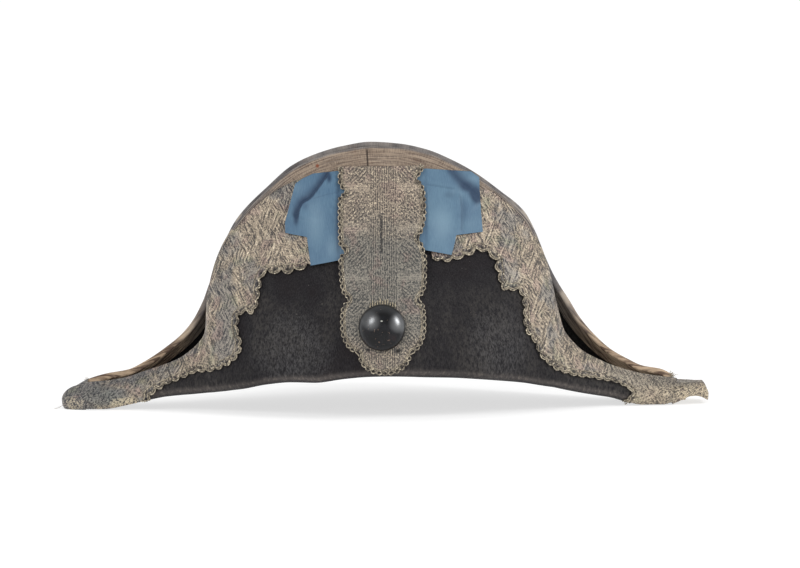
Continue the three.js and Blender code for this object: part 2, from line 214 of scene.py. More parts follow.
# Soft swells, so that no leaf is perfectly even, and one small knock on the front leaf
knock = {"x": -44, "z": 33, "wide": 5.5, "high": 5.0, "rise": 1.9}
evenHorns = {"end": 190, "over": 40}  # the swells fade out towards the horns


def swell(x, z, side):
    wave = (0.5 * np.sin(x / 33 + 1.3 + side) * np.sin(z / 25 + 0.4)
            + 0.32 * np.sin(x / 15 + z / 21 + 2 * side) + 0.18 * np.sin(x / 8.3 - z / 31 + 1))
    fade = np.clip((evenHorns["end"] - np.abs(x)) / evenHorns["over"], 0, 1)
    lift = felt["waviness"] * wave * fade
    if side < 0:
        away = ((x - knock["x"]) / knock["wide"]) ** 2 + ((z - knock["z"]) / knock["high"]) ** 2
        lift = lift + knock["rise"] * np.exp(-away)
    return lift


# The same place with its swells, lifted off the felt's middle by a distance, and the way that it faces
def leafPlace(side, x, down, away=0.0):
    x, down = np.broadcast_arrays(np.asarray(x, float), np.asarray(down, float))
    point = leafPoint(side, x, down)
    alongX = leafPoint(side, x + 0.4, down) - leafPoint(side, x - 0.4, down)
    alongDown = leafPoint(side, x, down + 0.004) - leafPoint(side, x, down - 0.004)
    normal = unit(np.cross(alongDown, alongX) * -side)
    lift = np.asarray(away, float) + swell(x, point[..., 2], side)
    return point + normal * lift[..., None], normal


# The place on the front leaf that is seen at this X and Z once it is lifted
def onFront(x, z, away=0.0):
    baseX, baseZ = np.array(x, float), np.array(z, float)
    for _ in range(2):
        point, normal = leafPlace(-1, baseX, downAt(-1, baseX, baseZ), away)
        baseX += x - point[..., 0]
        baseZ += z - point[..., 2]
    return leafPlace(-1, baseX, downAt(-1, baseX, baseZ), away)


# Meshes


def makePiece(name, points, faces, material, uv=None, attributes=None, sharpAt=55):
    points = np.asarray(points, float).copy()
    points[:, :2] += felt["shift"]
    mesh = bpy.data.meshes.new(name)
    mesh.from_pydata((points * 0.001).tolist(), [], [tuple(f) for f in faces])
    mesh.materials.append(material)
    for key, values in (attributes or {}).items():
        mesh.attributes.new(key, "FLOAT", "POINT").data.foreach_set("value", np.asarray(values, float))
    if uv is not None:
        layer = mesh.uv_layers.new(name="band")
        corner = np.empty(len(mesh.loops), int)
        mesh.loops.foreach_get("vertex_index", corner)
        layer.data.foreach_set("uv", np.asarray(uv, float)[corner].ravel())
    work = bmesh.new()
    work.from_mesh(mesh)
    bmesh.ops.recalc_face_normals(work, faces=work.faces)
    work.to_mesh(mesh)
    work.free()
    mesh.shade_smooth()
    mesh.set_sharp_from_angle(angle=math.radians(sharpAt))
    piece = bpy.data.objects.new(name, mesh)
    scene.collection.objects.link(piece)
    return piece


# Faces of a grid of columns by rows; around closes the rows into a ring
def gridFaces(columns, rows, start=0, around=False):
    faces = []
    wide = rows if around else rows - 1
    for i in range(columns - 1):
        for j in range(wide):
            k = (j + 1) % rows
            a, b = start + i * rows + j, start + i * rows + k
            faces.append((a, b, b + rows, a + rows))
    return faces


# A closed wall between two grids of the same layout
def wallBetween(outer, inner):
    columns, rows = outer.shape[:2]
    count = columns * rows
    faces = gridFaces(columns, rows) + [f[::-1] for f in gridFaces(columns, rows, count)]
    border = [(0, j) for j in range(rows - 1)] + [(i, rows - 1) for i in range(columns - 1)]
    border += [(columns - 1, j) for j in range(rows - 1, 0, -1)] + [(i, 0) for i in range(columns - 1, 0, -1)]
    ids = [i * rows + j for i, j in border]
    for a, b in zip(ids, ids[1:] + ids[:1]):
        faces.append((b, a, a + count, b + count))
    return np.concatenate([outer.reshape(-1, 3), inner.reshape(-1, 3)]), faces


def lineLength(line):
    return np.concatenate([[0], np.cumsum(np.linalg.norm(np.diff(line, axis=0), axis=1))])


def resample(line, spacing):
    line = np.asarray(line, float)
    length = lineLength(line)
    count = max(int(round(length[-1] / spacing)), 1)
    at = np.linspace(0, length[-1], count + 1)
    return np.stack([np.interp(at, length, line[:, k]) for k in range(line.shape[1])], -1)


# A rounded line through corner points
def roundedLine(corners, passes=2):
    line = np.asarray(corners, float)
    for _ in range(passes):
        near = line[:-1] * 0.78 + line[1:] * 0.22
        far = line[:-1] * 0.22 + line[1:] * 0.78
        middle = np.stack([near, far], 1).reshape(-1, line.shape[1])
        line = np.concatenate([line[:1], middle, line[-1:]])
    return line


# Distance to a line and the place along it, for many points at once
def nearestOn(points, line):
    start, step = line[:-1], np.diff(line, axis=0)
    square = np.maximum((step**2).sum(1), 1e-9)
    length = lineLength(line)
    best = np.full(len(points), 1e9)
    along = np.zeros(len(points))
    for i in range(len(start)):
        t = np.clip(((points - start[i]) @ step[i]) / square[i], 0, 1)
        away = np.linalg.norm(points - start[i] - t[:, None] * step[i], axis=1)
        closer = away < best
        best[closer] = away[closer]
        along[closer] = (length[i] + t * math.sqrt(square[i]))[closer]
    return best, along


def insideOf(points, outline):
    inside = np.zeros(len(points), bool)
    for (x1, z1), (x2, z2) in zip(outline, np.roll(outline, -1, axis=0)):
        crosses = (z1 > points[:, 1]) != (z2 > points[:, 1])
        if crosses.any():
            at = x1 + (points[:, 1] - z1) * (x2 - x1) / ((z2 - z1) or 1e-9)
            inside ^= crosses & (points[:, 0] < at)
    return inside


# Triangles that fill an outline drawn in X and Z
def fillOutline(outline, spacing):
    closed = np.concatenate([outline, outline[:1]])
    border = resample(closed, spacing)[:-1]
    low, high = border.min(0), border.max(0)
    inner = []
    for k, z in enumerate(np.arange(low[1] + spacing / 2, high[1], spacing * 0.87)):
        row = np.arange(low[0] + (k % 2) * spacing / 2, high[0], spacing)
        inner.append(np.stack([row, np.full(len(row), z)], -1))
    inner = np.concatenate(inner)
    inner = inner[insideOf(inner, border)]
    away, _ = nearestOn(inner, np.concatenate([border, border[:1]]))
    inner = inner[away > spacing * 0.55]
    places = np.concatenate([border, inner])
    count = len(border)
    edges = [(i, (i + 1) % count) for i in range(count)]
    found = delaunay_2d_cdt([Vector(p) for p in places], edges, [], 1, 1e-6)
    return np.array([tuple(p) for p in found[0]]), [tuple(f) for f in found[2]]


# A closed layer on the front leaf; the heights are distances from the felt's middle
def layerOnFront(places, triangles, near, far, lowest=0.3):
    top, _ = onFront(places[:, 0], places[:, 1], far)
    under, _ = onFront(places[:, 0], places[:, 1], near)
    top[:, 2] = np.maximum(top[:, 2], lowest)
    under[:, 2] = np.maximum(under[:, 2], lowest + 0.2)
    count = len(places)
    single = {}
    for f in triangles:
        for a, b in zip(f, f[1:] + f[:1]):
            single[(a, b)] = (b, a) not in single
            if (b, a) in single:
                single[(a, b)] = single[(b, a)] = False
    faces = list(triangles) + [tuple(i + count for i in f[::-1]) for f in triangles]
    faces += [(b, a, a + count, b + count) for (a, b), alone in single.items() if alone]
    return np.concatenate([top, under]), faces


# Tubes of thread along lines, closed at both ends
def threadTubes(lines, radius, sides=6):
    points, faces = [], []
    for line in lines:
        line = np.asarray(line, float)
        ahead = unit(np.gradient(line, axis=0))
        across = unit(np.cross(ahead, np.array([0.13, 0.21, 1.0])))
        third = np.cross(ahead, across)
        taper = np.sin(np.linspace(0.25, math.pi - 0.25, len(line))) ** 0.35
        start = sum(len(p) for p in points)
        turn = np.arange(sides) / sides * 2 * math.pi
        ring = (across[:, None] * np.cos(turn)[None, :, None] + third[:, None] * np.sin(turn)[None, :, None])
        points.append((line[:, None] + ring * (radius * taper)[:, None, None]).reshape(-1, 3))
        faces += gridFaces(len(line), sides, start, around=True)
        faces.append(tuple(range(start, start + sides)))
        last = start + (len(line) - 1) * sides
        faces.append(tuple(range(last + sides - 1, last - 1, -1)))
    return np.concatenate(points), faces


# Materials


class Value:
    # a number socket that takes Python's arithmetic
    def __init__(self, shader, socket):
        self.shader, self.socket = shader, socket

    def work(self, operation, *inputs):
        made = self.shader.node("ShaderNodeMath", {"operation": operation}, list(inputs))
        return Value(self.shader, made.outputs[0])

    def __add__(self, other):
        return self.work("ADD", self, other)

    def __radd__(self, other):
        return self.work("ADD", other, self)

    def __sub__(self, other):
        return self.work("SUBTRACT", self, other)

    def __rsub__(self, other):
        return self.work("SUBTRACT", other, self)

    def __mul__(self, other):
        return self.work("MULTIPLY", self, other)

    def __rmul__(self, other):
        return self.work("MULTIPLY", other, self)

    def __pow__(self, other):
        return self.work("POWER", self, other)

    def sine(self):
        return self.work("SINE", self)

    def size(self):
        return self.work("ABSOLUTE", self)

    def upTo(self, other):
        return self.work("MINIMUM", self, other)

    def between(self, low, high):
        return Value(self.shader, self.shader.node(
            "ShaderNodeMapRange", {"interpolation_type": "SMOOTHSTEP"},
            {"Value": self, "From Min": low, "From Max": high}).outputs[0])


class Shader:
    def __init__(self, name, **constants):
        self.material = bpy.data.materials.new(name)
        self.material.use_nodes = True
        self.tree = self.material.node_tree
        self.surface = self.tree.nodes["Principled BSDF"]
        for key, value in constants.items():
            self.surface.inputs[key.replace("_", " ")].default_value = value

    def node(self, kind, settings=None, inputs=None):
        made = self.tree.nodes.new(kind)
        for key, value in (settings or {}).items():
            setattr(made, key, value)
        pairs = enumerate(inputs) if isinstance(inputs, list) else (inputs or {}).items()
        for key, value in pairs:
            self.feed(made.inputs[key], value)
        return made

    def feed(self, socket, value):
        if isinstance(value, Value):
            self.tree.links.new(value.socket, socket)
        elif isinstance(value, bpy.types.NodeSocket):
            self.tree.links.new(value, socket)
        else:
            socket.default_value = value

    def place(self):
        return self.node("ShaderNodeTexCoord").outputs["Object"]

    def stretched(self, vector, x, y, z):
        return self.node("ShaderNodeVectorMath", {"operation": "MULTIPLY"}, [vector, (x, y, z)]).outputs[0]

    def vector(self, x, y, z):
        return self.node("ShaderNodeCombineXYZ", {}, [x, y, z]).outputs[0]

    def noise(self, vector, scale, detail=3.0, rough=0.55, twist=0.0):
        made = self.node("ShaderNodeTexNoise", {}, {
            "Vector": vector, "Scale": scale, "Detail": detail, "Roughness": rough, "Distortion": twist})
        return Value(self, made.outputs[0])

    def attribute(self, name):
        return Value(self, self.node("ShaderNodeAttribute", {"attribute_name": name}).outputs["Fac"])

    def parts(self, vector):
        made = self.node("ShaderNodeSeparateXYZ", {}, [vector])
        return [Value(self, s) for s in made.outputs]

    def band(self):
        return self.node("ShaderNodeUVMap", {"uv_map": "band"}).outputs[0]

    # 1 in the middle of a soft-edged patch and 0 outside it, its place and half sizes in the units of x and z
    def patch(self, x, z, at, half, edge, ragged=0.0):
        away = ((x - at[0]) * (1 / half[0])) ** 2 + ((z - at[1]) * (1 / half[1])) ** 2
        return 1 - (away + ragged).between(*edge)

    def mix(self, share, first, second):
        made = self.node("ShaderNodeMix", {"data_type": "RGBA"})
        for index, value in ((0, share), (6, first), (7, second)):
            self.feed(made.inputs[index], value if not isinstance(value, tuple) else (*value, 1.0))
        return made.outputs[2]

    # from one screen colour to another
    def shades(self, share, dark, light):
        return self.mix(share, tone(*dark), tone(*light))

    def finish(self, colour, rough=None, metal=None, height=None, depth=0.0003, strength=1.0):
        self.feed(self.surface.inputs["Base Color"], colour)
        if rough is not None:
            self.feed(self.surface.inputs["Roughness"], rough)
        if metal is not None:
            self.feed(self.surface.inputs["Metallic"], metal)
        if height is not None:
            inputs = {"Strength": strength, "Distance": depth, "Height": height}
            self.feed(self.surface.inputs["Normal"], self.node("ShaderNodeBump", {}, inputs).outputs[0])
        return self.material


# A screen colour as light values
def tone(*screen):
    shares = [value / 255 for value in screen]
    return tuple(((v + 0.055) / 1.055) ** 2.4 if v > 0.04 else v / 12.92 for v in shares)


def makeFeltFinish():
    s = Shader("feltFinish", Roughness=0.92, Sheen_Weight=0.10, Sheen_Roughness=0.4, Specular_IOR_Level=0.2)
    place = s.place()
    x, y, z = s.parts(place)
    wearAndHighlight = s.attribute("wearAndHighlight")
    nap = s.noise(s.stretched(place, 1900, 1900, 520), 1.0, 4, 0.6)
    fibre = s.noise(s.stretched(place, 3800, 3800, 1500), 1.0, 2, 0.6)
    patch = s.noise(s.stretched(place, 20, 20, 15), 1.0, 4, 0.6)
    fine = s.noise(s.stretched(place, 560, 560, 300), 1.0, 4, 0.65)
    speck = s.noise(place, 520, 2, 0.5)
    dusty = fine.between(0.35, 0.65)
    # black nap, dusty in some places and browner in others
    colour = s.shades(nap.between(0.36, 0.68), (20, 19, 22), (44, 42, 44))
    colour = s.mix(patch.between(0.44, 0.64) * dusty * 0.6, colour, tone(70, 67, 64))
    colour = s.mix((1 - patch).between(0.5, 0.66) * 0.5, colour, tone(30, 24, 25))
    # two rubbed patches on the front leaf
    ragged = (patch - 0.5) * 2.4
    leftRub = s.patch(x, z, (-0.061, 0.046), (0.0294, 0.0263), (0.1, 1.2), ragged)
    rightRub = s.patch(x, z, (0.074, 0.046), (0.0250, 0.0312), (0.1, 1.2), ragged)
    rub = (leftRub + rightRub * 0.9).upTo(1.0) * (y * -1).between(0.0, 0.01)
    colour = s.mix(rub * nap.between(0.36, 0.62) * (dusty * 0.5 + 0.12), colour, tone(88, 87, 88))
    # the fold is worn pale, partly a painted highlight along its curve, and a few pale flecks lie all over
    colour = s.mix(wearAndHighlight * (0.30 + fine * 0.8), colour, tone(95, 89, 86))
    colour = s.mix((fine.between(0.52, 0.70) * wearAndHighlight).upTo(1.0) * 0.55, colour, tone(124, 114, 104))
    colour = s.mix(speck.between(0.735, 0.76) * 0.5, colour, tone(110, 104, 98))
    return s.finish(colour, height=nap * 0.6 + fibre * 0.5 + fine * 0.4, depth=0.00035, strength=0.7)


# Patches on the lace of the horns: middle and half size, in millimetres
hornPatches = {
    "dark": [(-187, 9.5), (17.2, 6.67)],
    "tuft": [(-169, 4.0), (13.3, 4.55)],
    "tip": [(-208, 4.5), (10.0, 5.00)],
    "beak": [(205, 8.0), (20.0, 5.56)],
}


def makeLaceFinish():
    s = Shader("laceFinish", Specular_IOR_Level=0.4)
    place = s.place()
    x, y, z = s.parts(s.stretched(place, 1000, 1000, 1000))
    shade, dull, fine = s.attribute("shade"), s.attribute("dull"), s.attribute("fine")
    pale = x.between(128, 162)

    def strands(way, across, along, seed, shift=0.0):
        over, run = x * way[0] + z * way[1] + shift, x * way[1] - z * way[0]
        return s.noise(s.vector(over * across, run * along, seed), 1.0, 2, 0.6)

    # strands lean one way and then the other, as in a worn brocade, and are short threads on the horns
    bend = (s.noise(s.vector(x * 0.07, z * 0.07, 0), 1.0, 2, 0.5) - 0.5) * 4.5
    lean = s.noise(s.vector(x * 0.10 + 7, z * 0.08, 0), 1.0, 1, 0.5).between(0.44, 0.56)
    first = strands((0.87, 0.50), 0.98, 0.11, 0, bend)
    second = strands((0.94, -0.34), 0.98, -0.11, 3, bend)
    third = strands((0.64, 0.77), 1.3, 0.5, 5)
    slant = s.vector((x * 0.80 + z * 0.60) * 0.52, y * 0.5, (x * 0.60 - z * 0.80) * 1.35)
    streak = (first * lean + second * (1 - lean)) * 0.75 + third * 0.25
    streak = streak * (1 - fine) + s.noise(slant, 1.0, 2, 0.65) * fine
    grain = s.noise(place, 1250, 2, 0.6)
    light = (streak * 0.68 + grain * 0.32 + (shade - 0.55) * 0.16).between(0.43, 0.585)
    colour = s.shades(light, (70, 65, 62), (172, 157, 137))
    # painted glints: near white where the strands and grain are lightest
    colour = s.mix((streak * 0.55 + grain * 0.45).between(0.55, 0.63), colour, tone(230, 215, 190))
    # tarnish and faded hues, then the patches of the horns
    tarnish = s.noise(place, 44, 3, 0.6)
    hue = s.noise(place, 95, 2, 0.5)
    ragged = (tarnish - 0.5) * 3
    spots = {name: s.patch(x, z, at, half, (0.2, 1.3), ragged) for name, (at, half) in hornPatches.items()}
    washes = [
        (dull * tarnish.between(0.36, 0.56), (48, 46, 49), (138, 131, 121)),
        (tarnish.between(0.46, 0.60) * (1 - pale * 0.75) * 0.7, (54, 56, 62), (134, 131, 127)),
        (hue.between(0.54, 0.68) * 0.5, (78, 66, 66), (166, 142, 132)),
        ((1 - hue).between(0.56, 0.70) * 0.4, (66, 70, 62), (150, 150, 124)),
        (spots["dark"] * 0.75, (38, 40, 47), (112, 114, 112)),
        (pale * 0.45, (90, 82, 73), (190, 176, 152)),
        (z.between(9.5, 15) * pale * 0.5, (62, 60, 60), (142, 136, 126)),
    ]
    for share, low, high in washes:
        colour = s.mix(share, colour, s.shades(light, low, high))
    bright = (spots["tuft"] + spots["tip"] * 0.8 + spots["beak"] * 0.9).upTo(1.0)
    colour = s.mix(bright * light.between(0.25, 0.9) * 0.6, colour, tone(214, 198, 166))
    # painted shade: near black where the shade attribute is low, in the lace's hollows and eyes
    colour = s.mix(shade.between(0.0, 0.40), tone(26, 23, 22), colour)
    return s.finish(colour, 0.66 - light * 0.2, 0.12 * light + 0.04, streak + grain * 0.4, 0.0008, 0.9)


def makeStrapFinish(ribPitch):
    s = Shader("strapFinish", Specular_IOR_Level=0.4)
    place = s.place()
    x, _, z = s.parts(s.stretched(place, 1000, 1000, 1000))
    shade, dull = s.attribute("shade"), s.attribute("dull")
    middle = 1 - x.size().between(8.6, 9.6)
    rib = (x * (2 * math.pi / ribPitch)).sine() * 0.5 + 0.5
    speckle = s.noise(s.vector(x * 0.95, z * 0.75, 0), 1.0, 2, 0.7)
    threads = s.noise(s.vector(x * 1.15, z * 0.42, 4), 1.0, 2, 0.6)
    slant = s.noise(s.vector((x.size() + z) * 0.85, (x.size() - z) * 0.33, 9), 1.0, 2, 0.6)
    grain = s.noise(place, 1350, 2, 0.6)
    mixed = speckle * 0.45 + (threads * middle + slant * (1 - middle)) * 0.25 + grain * 0.30
    light = (mixed + (shade - 0.5) * 0.22 + (rib - 0.5) * middle * 0.09).between(0.42, 0.60)
    tarnish = s.noise(place, 44, 3, 0.6)
    hue = s.noise(place, 95, 2, 0.5)
    colour = s.shades(light, (72, 67, 63), (166, 151, 134))
    # painted glints: near white where the speckle and grain are lightest
    colour = s.mix((speckle * 0.5 + grain * 0.5).between(0.555, 0.635), colour, tone(226, 210, 182))
    washes = [
        ((dull + tarnish - 0.45).between(0.1, 0.75) * 0.85, (56, 58, 58), (133, 129, 120)),
        (hue.between(0.54, 0.68) * 0.4, (80, 66, 64), (164, 140, 130)),
    ]
    for share, low, high in washes:
        colour = s.mix(share, colour, s.shades(light, low, high))
    # painted shade: near black where the shade attribute is low, in the slit, hollows and eyes
    colour = s.mix(shade.between(0.0, 0.34), tone(28, 25, 23), colour)
    return s.finish(colour, 0.66 - light * 0.2, 0.12 * light + 0.04, mixed + rib * middle * 0.5, 0.0007, 0.9)


def makeCordFinish():
    s = Shader("cordFinish", Specular_IOR_Level=0.5)
    place = s.place()
    grain = s.noise(place, 1500, 2, 0.6)
    patch = s.noise(place, 130, 3, 0.6)
    twist = s.noise(place, 620, 2, 0.6)
    light = (grain * 0.3 + twist * 0.4 + patch * 0.3).between(0.40, 0.58)
    colour = s.shades(light, (62, 57, 52), (176, 164, 143))
    # painted glints: near white where the twist and grain are lightest
    colour = s.mix((twist * 0.6 + grain * 0.4).between(0.56, 0.64), colour, tone(236, 224, 198))
    colour = s.mix(patch.between(0.52, 0.66) * 0.4, colour, tone(124, 118, 108))
    return s.finish(colour, 0.5, 0.2, grain + twist, 0.0003, 0.8)


def makeStitchFinish():
    s = Shader("stitchFinish", Roughness=0.5, Specular_IOR_Level=0.5)
    grain = s.noise(s.place(), 1200, 2, 0.6)
    colour = s.shades(grain.between(0.35, 0.6), (106, 97, 83), (196, 182, 154))
    return s.finish(colour, height=grain, depth=0.0002)


def makeBindingFinish():
    s = Shader("bindingFinish", Specular_IOR_Level=0.3, Sheen_Weight=0.1, Sheen_Roughness=0.4)
    place = s.place()
    along, across, _ = s.parts(s.stretched(s.band(), 100, 100, 1))
    x, y, z = s.parts(place)
    rim = s.attribute("rim")
    ridge = s.noise(s.vector(along * 0.05, across * 1.15, 0), 1.0, 3, 0.65, 0.1)
    weft = s.noise(s.vector(along * 1.9, across * 0.25, 2), 1.0, 2, 0.6)
    line = s.noise(s.vector(along * 0.03, across * 2.3, 7), 1.0, 2, 0.6)
    patch = s.noise(place, 48, 4, 0.62)
    thread = (ridge * 0.65 + weft * 0.35).between(0.36, 0.62)
    # tan in the middle, greyer to the sides and cooler on the rim
    warm = s.shades(thread, (93, 78, 68), (158, 140, 122))
    grey = s.shades(thread, (74, 67, 62), (150, 134, 120))
    cool = s.shades(thread, (70, 68, 70), (136, 130, 126))
    side = (x.size() + (patch - 0.5) * 0.05).between(0.045, 0.105)
    fade = (rim + patch * 0.5 - 0.25).between(0.45, 1.05)
    colour = s.mix(fade, s.mix(side, warm, grey), cool)
    colour = s.mix(patch.between(0.54, 0.68) * 0.35, colour, tone(120, 96, 80))
    colour = s.mix(side * 0.58, colour, tone(76, 75, 79))
    # pale and dark lines run along it
    colour = s.mix(line.between(0.52, 0.60) * (0.22 + side * 0.5), colour, tone(178, 167, 154))
    colour = s.mix((1 - line).between(0.54, 0.64) * (0.18 + side * 0.45), colour, tone(52, 48, 48))
    # the ends of the back binding are faded to tan
    ends = x.size().between(0.112, 0.150) * y.between(-0.002, 0.004)
    hem = s.noise(s.stretched(place, 45, 1100, 30), 1.0, 2, 0.6)
    streaks = (line * 0.3 + ridge * 0.2 + hem * 0.5).between(0.42, 0.56)
    colour = s.mix(ends * 0.85, colour, s.shades(streaks, (98, 76, 60), (206, 180, 150)))
    # a seam above the strap and one rusty spot
    seam = 1 - (x + 0.0100 + (z - 0.165) * 0.06).size().between(0.0003, 0.0008)
    colour = s.mix(seam * (1 - rim) * 0.9, colour, tone(45, 36, 30))
    spot = s.patch(x, z, (-0.0430, 0.1612), (0.001, 0.001), (0.2, 2.4))
    colour = s.mix(spot * 0.85, colour, tone(122, 58, 30))
    return s.finish(colour, 0.75, None, ridge * 1.1 + weft * 0.5, 0.0009, 0.9)


def makeSilkFinish():
    s = Shader("silkFinish", Sheen_Weight=0.18, Sheen_Roughness=0.3, Specular_IOR_Level=0.35)
    place = s.place()
    x = s.parts(place)[0]
    creaseShade, glow = s.attribute("creaseShade"), s.attribute("glow")
    warp = s.noise(s.stretched(place, 2600, 400, 60), 1.0, 2, 0.6)
    weft = s.noise(s.stretched(place, 60, 400, 2600), 1.0, 2, 0.6)
    patch = s.noise(place, 60, 3, 0.55)
    colour = s.shades(patch.between(0.3, 0.72), (73, 101, 125), (86, 115, 136))
    # the left ribbon is deeper blue
    colour = s.mix((x * -1).between(0, 0.02) * 0.3, colour, tone(52, 88, 118))
    colour = s.mix(warp.between(0.35, 0.7) * 0.22, colour, tone(112, 141, 160))
    # painted light on the silk where the glow attribute is high, then painted shade in its folds and under
    # the strap
    colour = s.mix(glow.between(0.0, 1.0) * 0.6, colour, tone(120, 147, 164))
    colour = s.mix(creaseShade.between(0.0, 1.0) * 0.85, colour, tone(12, 38, 68))
    return s.finish(colour, 0.46 + patch * 0.12, None, warp * 0.5 + weft * 0.4, 0.00012, 0.6)


def makeButtonFinish():
    s = Shader("buttonFinish", Specular_IOR_Level=0.30, Coat_IOR=2.0, Coat_Roughness=0.30,
               Coat_Tint=(0.80, 0.90, 1.0, 1.0))
    place = s.place()
    x, _, z = s.parts(s.stretched(place, 1000, 1000, 1000))
    grain = s.noise(place, 900, 3, 0.6)
    speck = s.noise(place, 560, 2, 0.5)
    patch = s.noise(place, 120, 3, 0.6)
    # near black, with small marks on the middle and a brown cast low down
    colour = s.shades(patch.between(0.35, 0.7), (2, 2, 4), (11, 13, 18))
    middle = s.patch(x, z, (0, 56), (1, 1), (8, 70))
    mark = (speck + 0.06 * middle).between(0.70, 0.735)
    colour = s.mix(mark * 0.6, colour, tone(120, 98, 84))
    low = 1 - z.between(50, 64)
    colour = s.mix(low * patch.between(0.5, 0.75) * 0.5, colour, tone(44, 26, 24))
    fleck = s.patch(x, z, (-1.2, 65.5), (1.69, 1), (0.05, 0.30))
    colour = s.mix(fleck * 0.8, colour, tone(190, 190, 180))
    # painted reflections: the coat is left thick on both sides of the top, where the lamps' highlights fall,
    # and round the edge
    leftReflection = s.patch(x, z, (-7.9, 65.5), (1, 1), (2, 50))
    rightReflection = s.patch(x, z, (9.8, 64.0), (1, 1), (2, 54))
    edge = 1 - s.patch(x, z, (-1.0, 58.5), (1, 1), (110, 215))
    s.feed(s.surface.inputs["Coat Weight"], (leftReflection * 0.75 + rightReflection + edge * 0.32).upTo(1.0))
    return s.finish(colour, 0.20 + mark * 0.3 + patch * 0.08, None, grain * 0.3 + mark, 0.00008, 0.5)


def makeThreadFinish():
    s = Shader("threadFinish", Roughness=0.6)
    return s.finish(s.shades(s.noise(s.place(), 700, 2, 0.5), (110, 102, 90), (196, 182, 152)))


strapRib = 1.46  # pitch of the ribs down the middle of the strap, in millimetres
feltFinish = makeFeltFinish()
laceFinish = makeLaceFinish()
bindingFinish = makeBindingFinish()
silkFinish = makeSilkFinish()
buttonFinish = makeButtonFinish()
threadFinish = makeThreadFinish()
cordFinish = makeCordFinish()
strapFinish = makeStrapFinish(strapRib)
stitchFinish = makeStitchFinish()
print("materials made")

# Felt body


feltMesh = {"columns": 250, "leafRows": 30, "bendRows": 7, "runRows": 6, "crownRows": 46,
            "leftEnd": -0.95, "rightEnd": 0.905, "floorFrom": 0.89, "floor": 0.7}
# the worn line above the fold, partly a painted highlight: distance, width and amount, then the wear right
# under it
feltWearAndHighlight = {"above": 2.6, "width": 1.5, "amount": 1.1, "underWidth": 0.10, "underAmount": 0.40}
# rows of the leaf, closer together near the fold
leafShares = 1 - (1 - np.linspace(0, 1, feltMesh["leafRows"])) ** 1.35


def leafPath(section, x, side, crownShare):
    foot = section["bottom"] + section["radius"]
    down = np.concatenate([leafShares, 1 + np.linspace(0, 1, feltMesh["bendRows"] + 1)[1:]])
    leaf = leafPoint(side, np.full(len(down), x), down)
    middle = section["depth"] - section["radius"]
    run = min(section["radius"] * math.pi / 2, 0.6 * middle)
    share = np.linspace(0, 1, feltMesh["runRows"] + 1)[1:]
    turn = max(crownShare, 0.001) * share * math.pi / 2
    depth = middle - run * share * np.sin(turn) / turn
    z = section["bottom"] + run * share * (1 - np.cos(turn)) / turn
    return np.concatenate([leaf, np.stack([np.full(len(share), x), side * depth, z], -1)])


# One section of the whole sheet: front leaf, crown and back leaf
def feltPath(x):
    section = {key: float(value) for key, value in sectionAt(x).items()}
    inside = min(max((felt["crownHalfLength"] - abs(x)) / felt["crownRunOut"], 0), 1)
    crownShare = inside * inside * (3 - 2 * inside)
    front = leafPath(section, x, -1, crownShare)
    back = leafPath(section, x, 1, crownShare)
    start = front[-1]
    reach = min(abs(x) / felt["crownHalfLength"], 1)
    power = felt["crownRound"]
    rise = felt["crownHeight"] * max(1 - reach**power, 0) ** (1 / power)
    flank = 0.62 + 4 * reach**6
    lowTop = min(section["front"], section["back"])
    foot = section["bottom"] + section["radius"]

    def roomAt(z):
        share = np.clip((z - foot) / (lowTop - foot), 0, 1)
        return section["gap"] + (section["depth"] - section["gap"]) * leanAt(share) - 2 * section["radius"]

    angle = np.linspace(0, math.pi, feltMesh["crownRows"] + 1)[1:-1]
    z = start[2] + rise * np.sin(angle) ** flank
    across = np.sign(np.cos(angle)) * np.abs(np.cos(angle)) ** 0.62
    room = np.minimum(roomAt(z) / roomAt(start[2]), 1) if rise > 0 else 1
    crown = np.stack([np.full(len(angle), x), start[1] * across * room, z], -1)
    return np.concatenate([front, crown, back[::-1]])


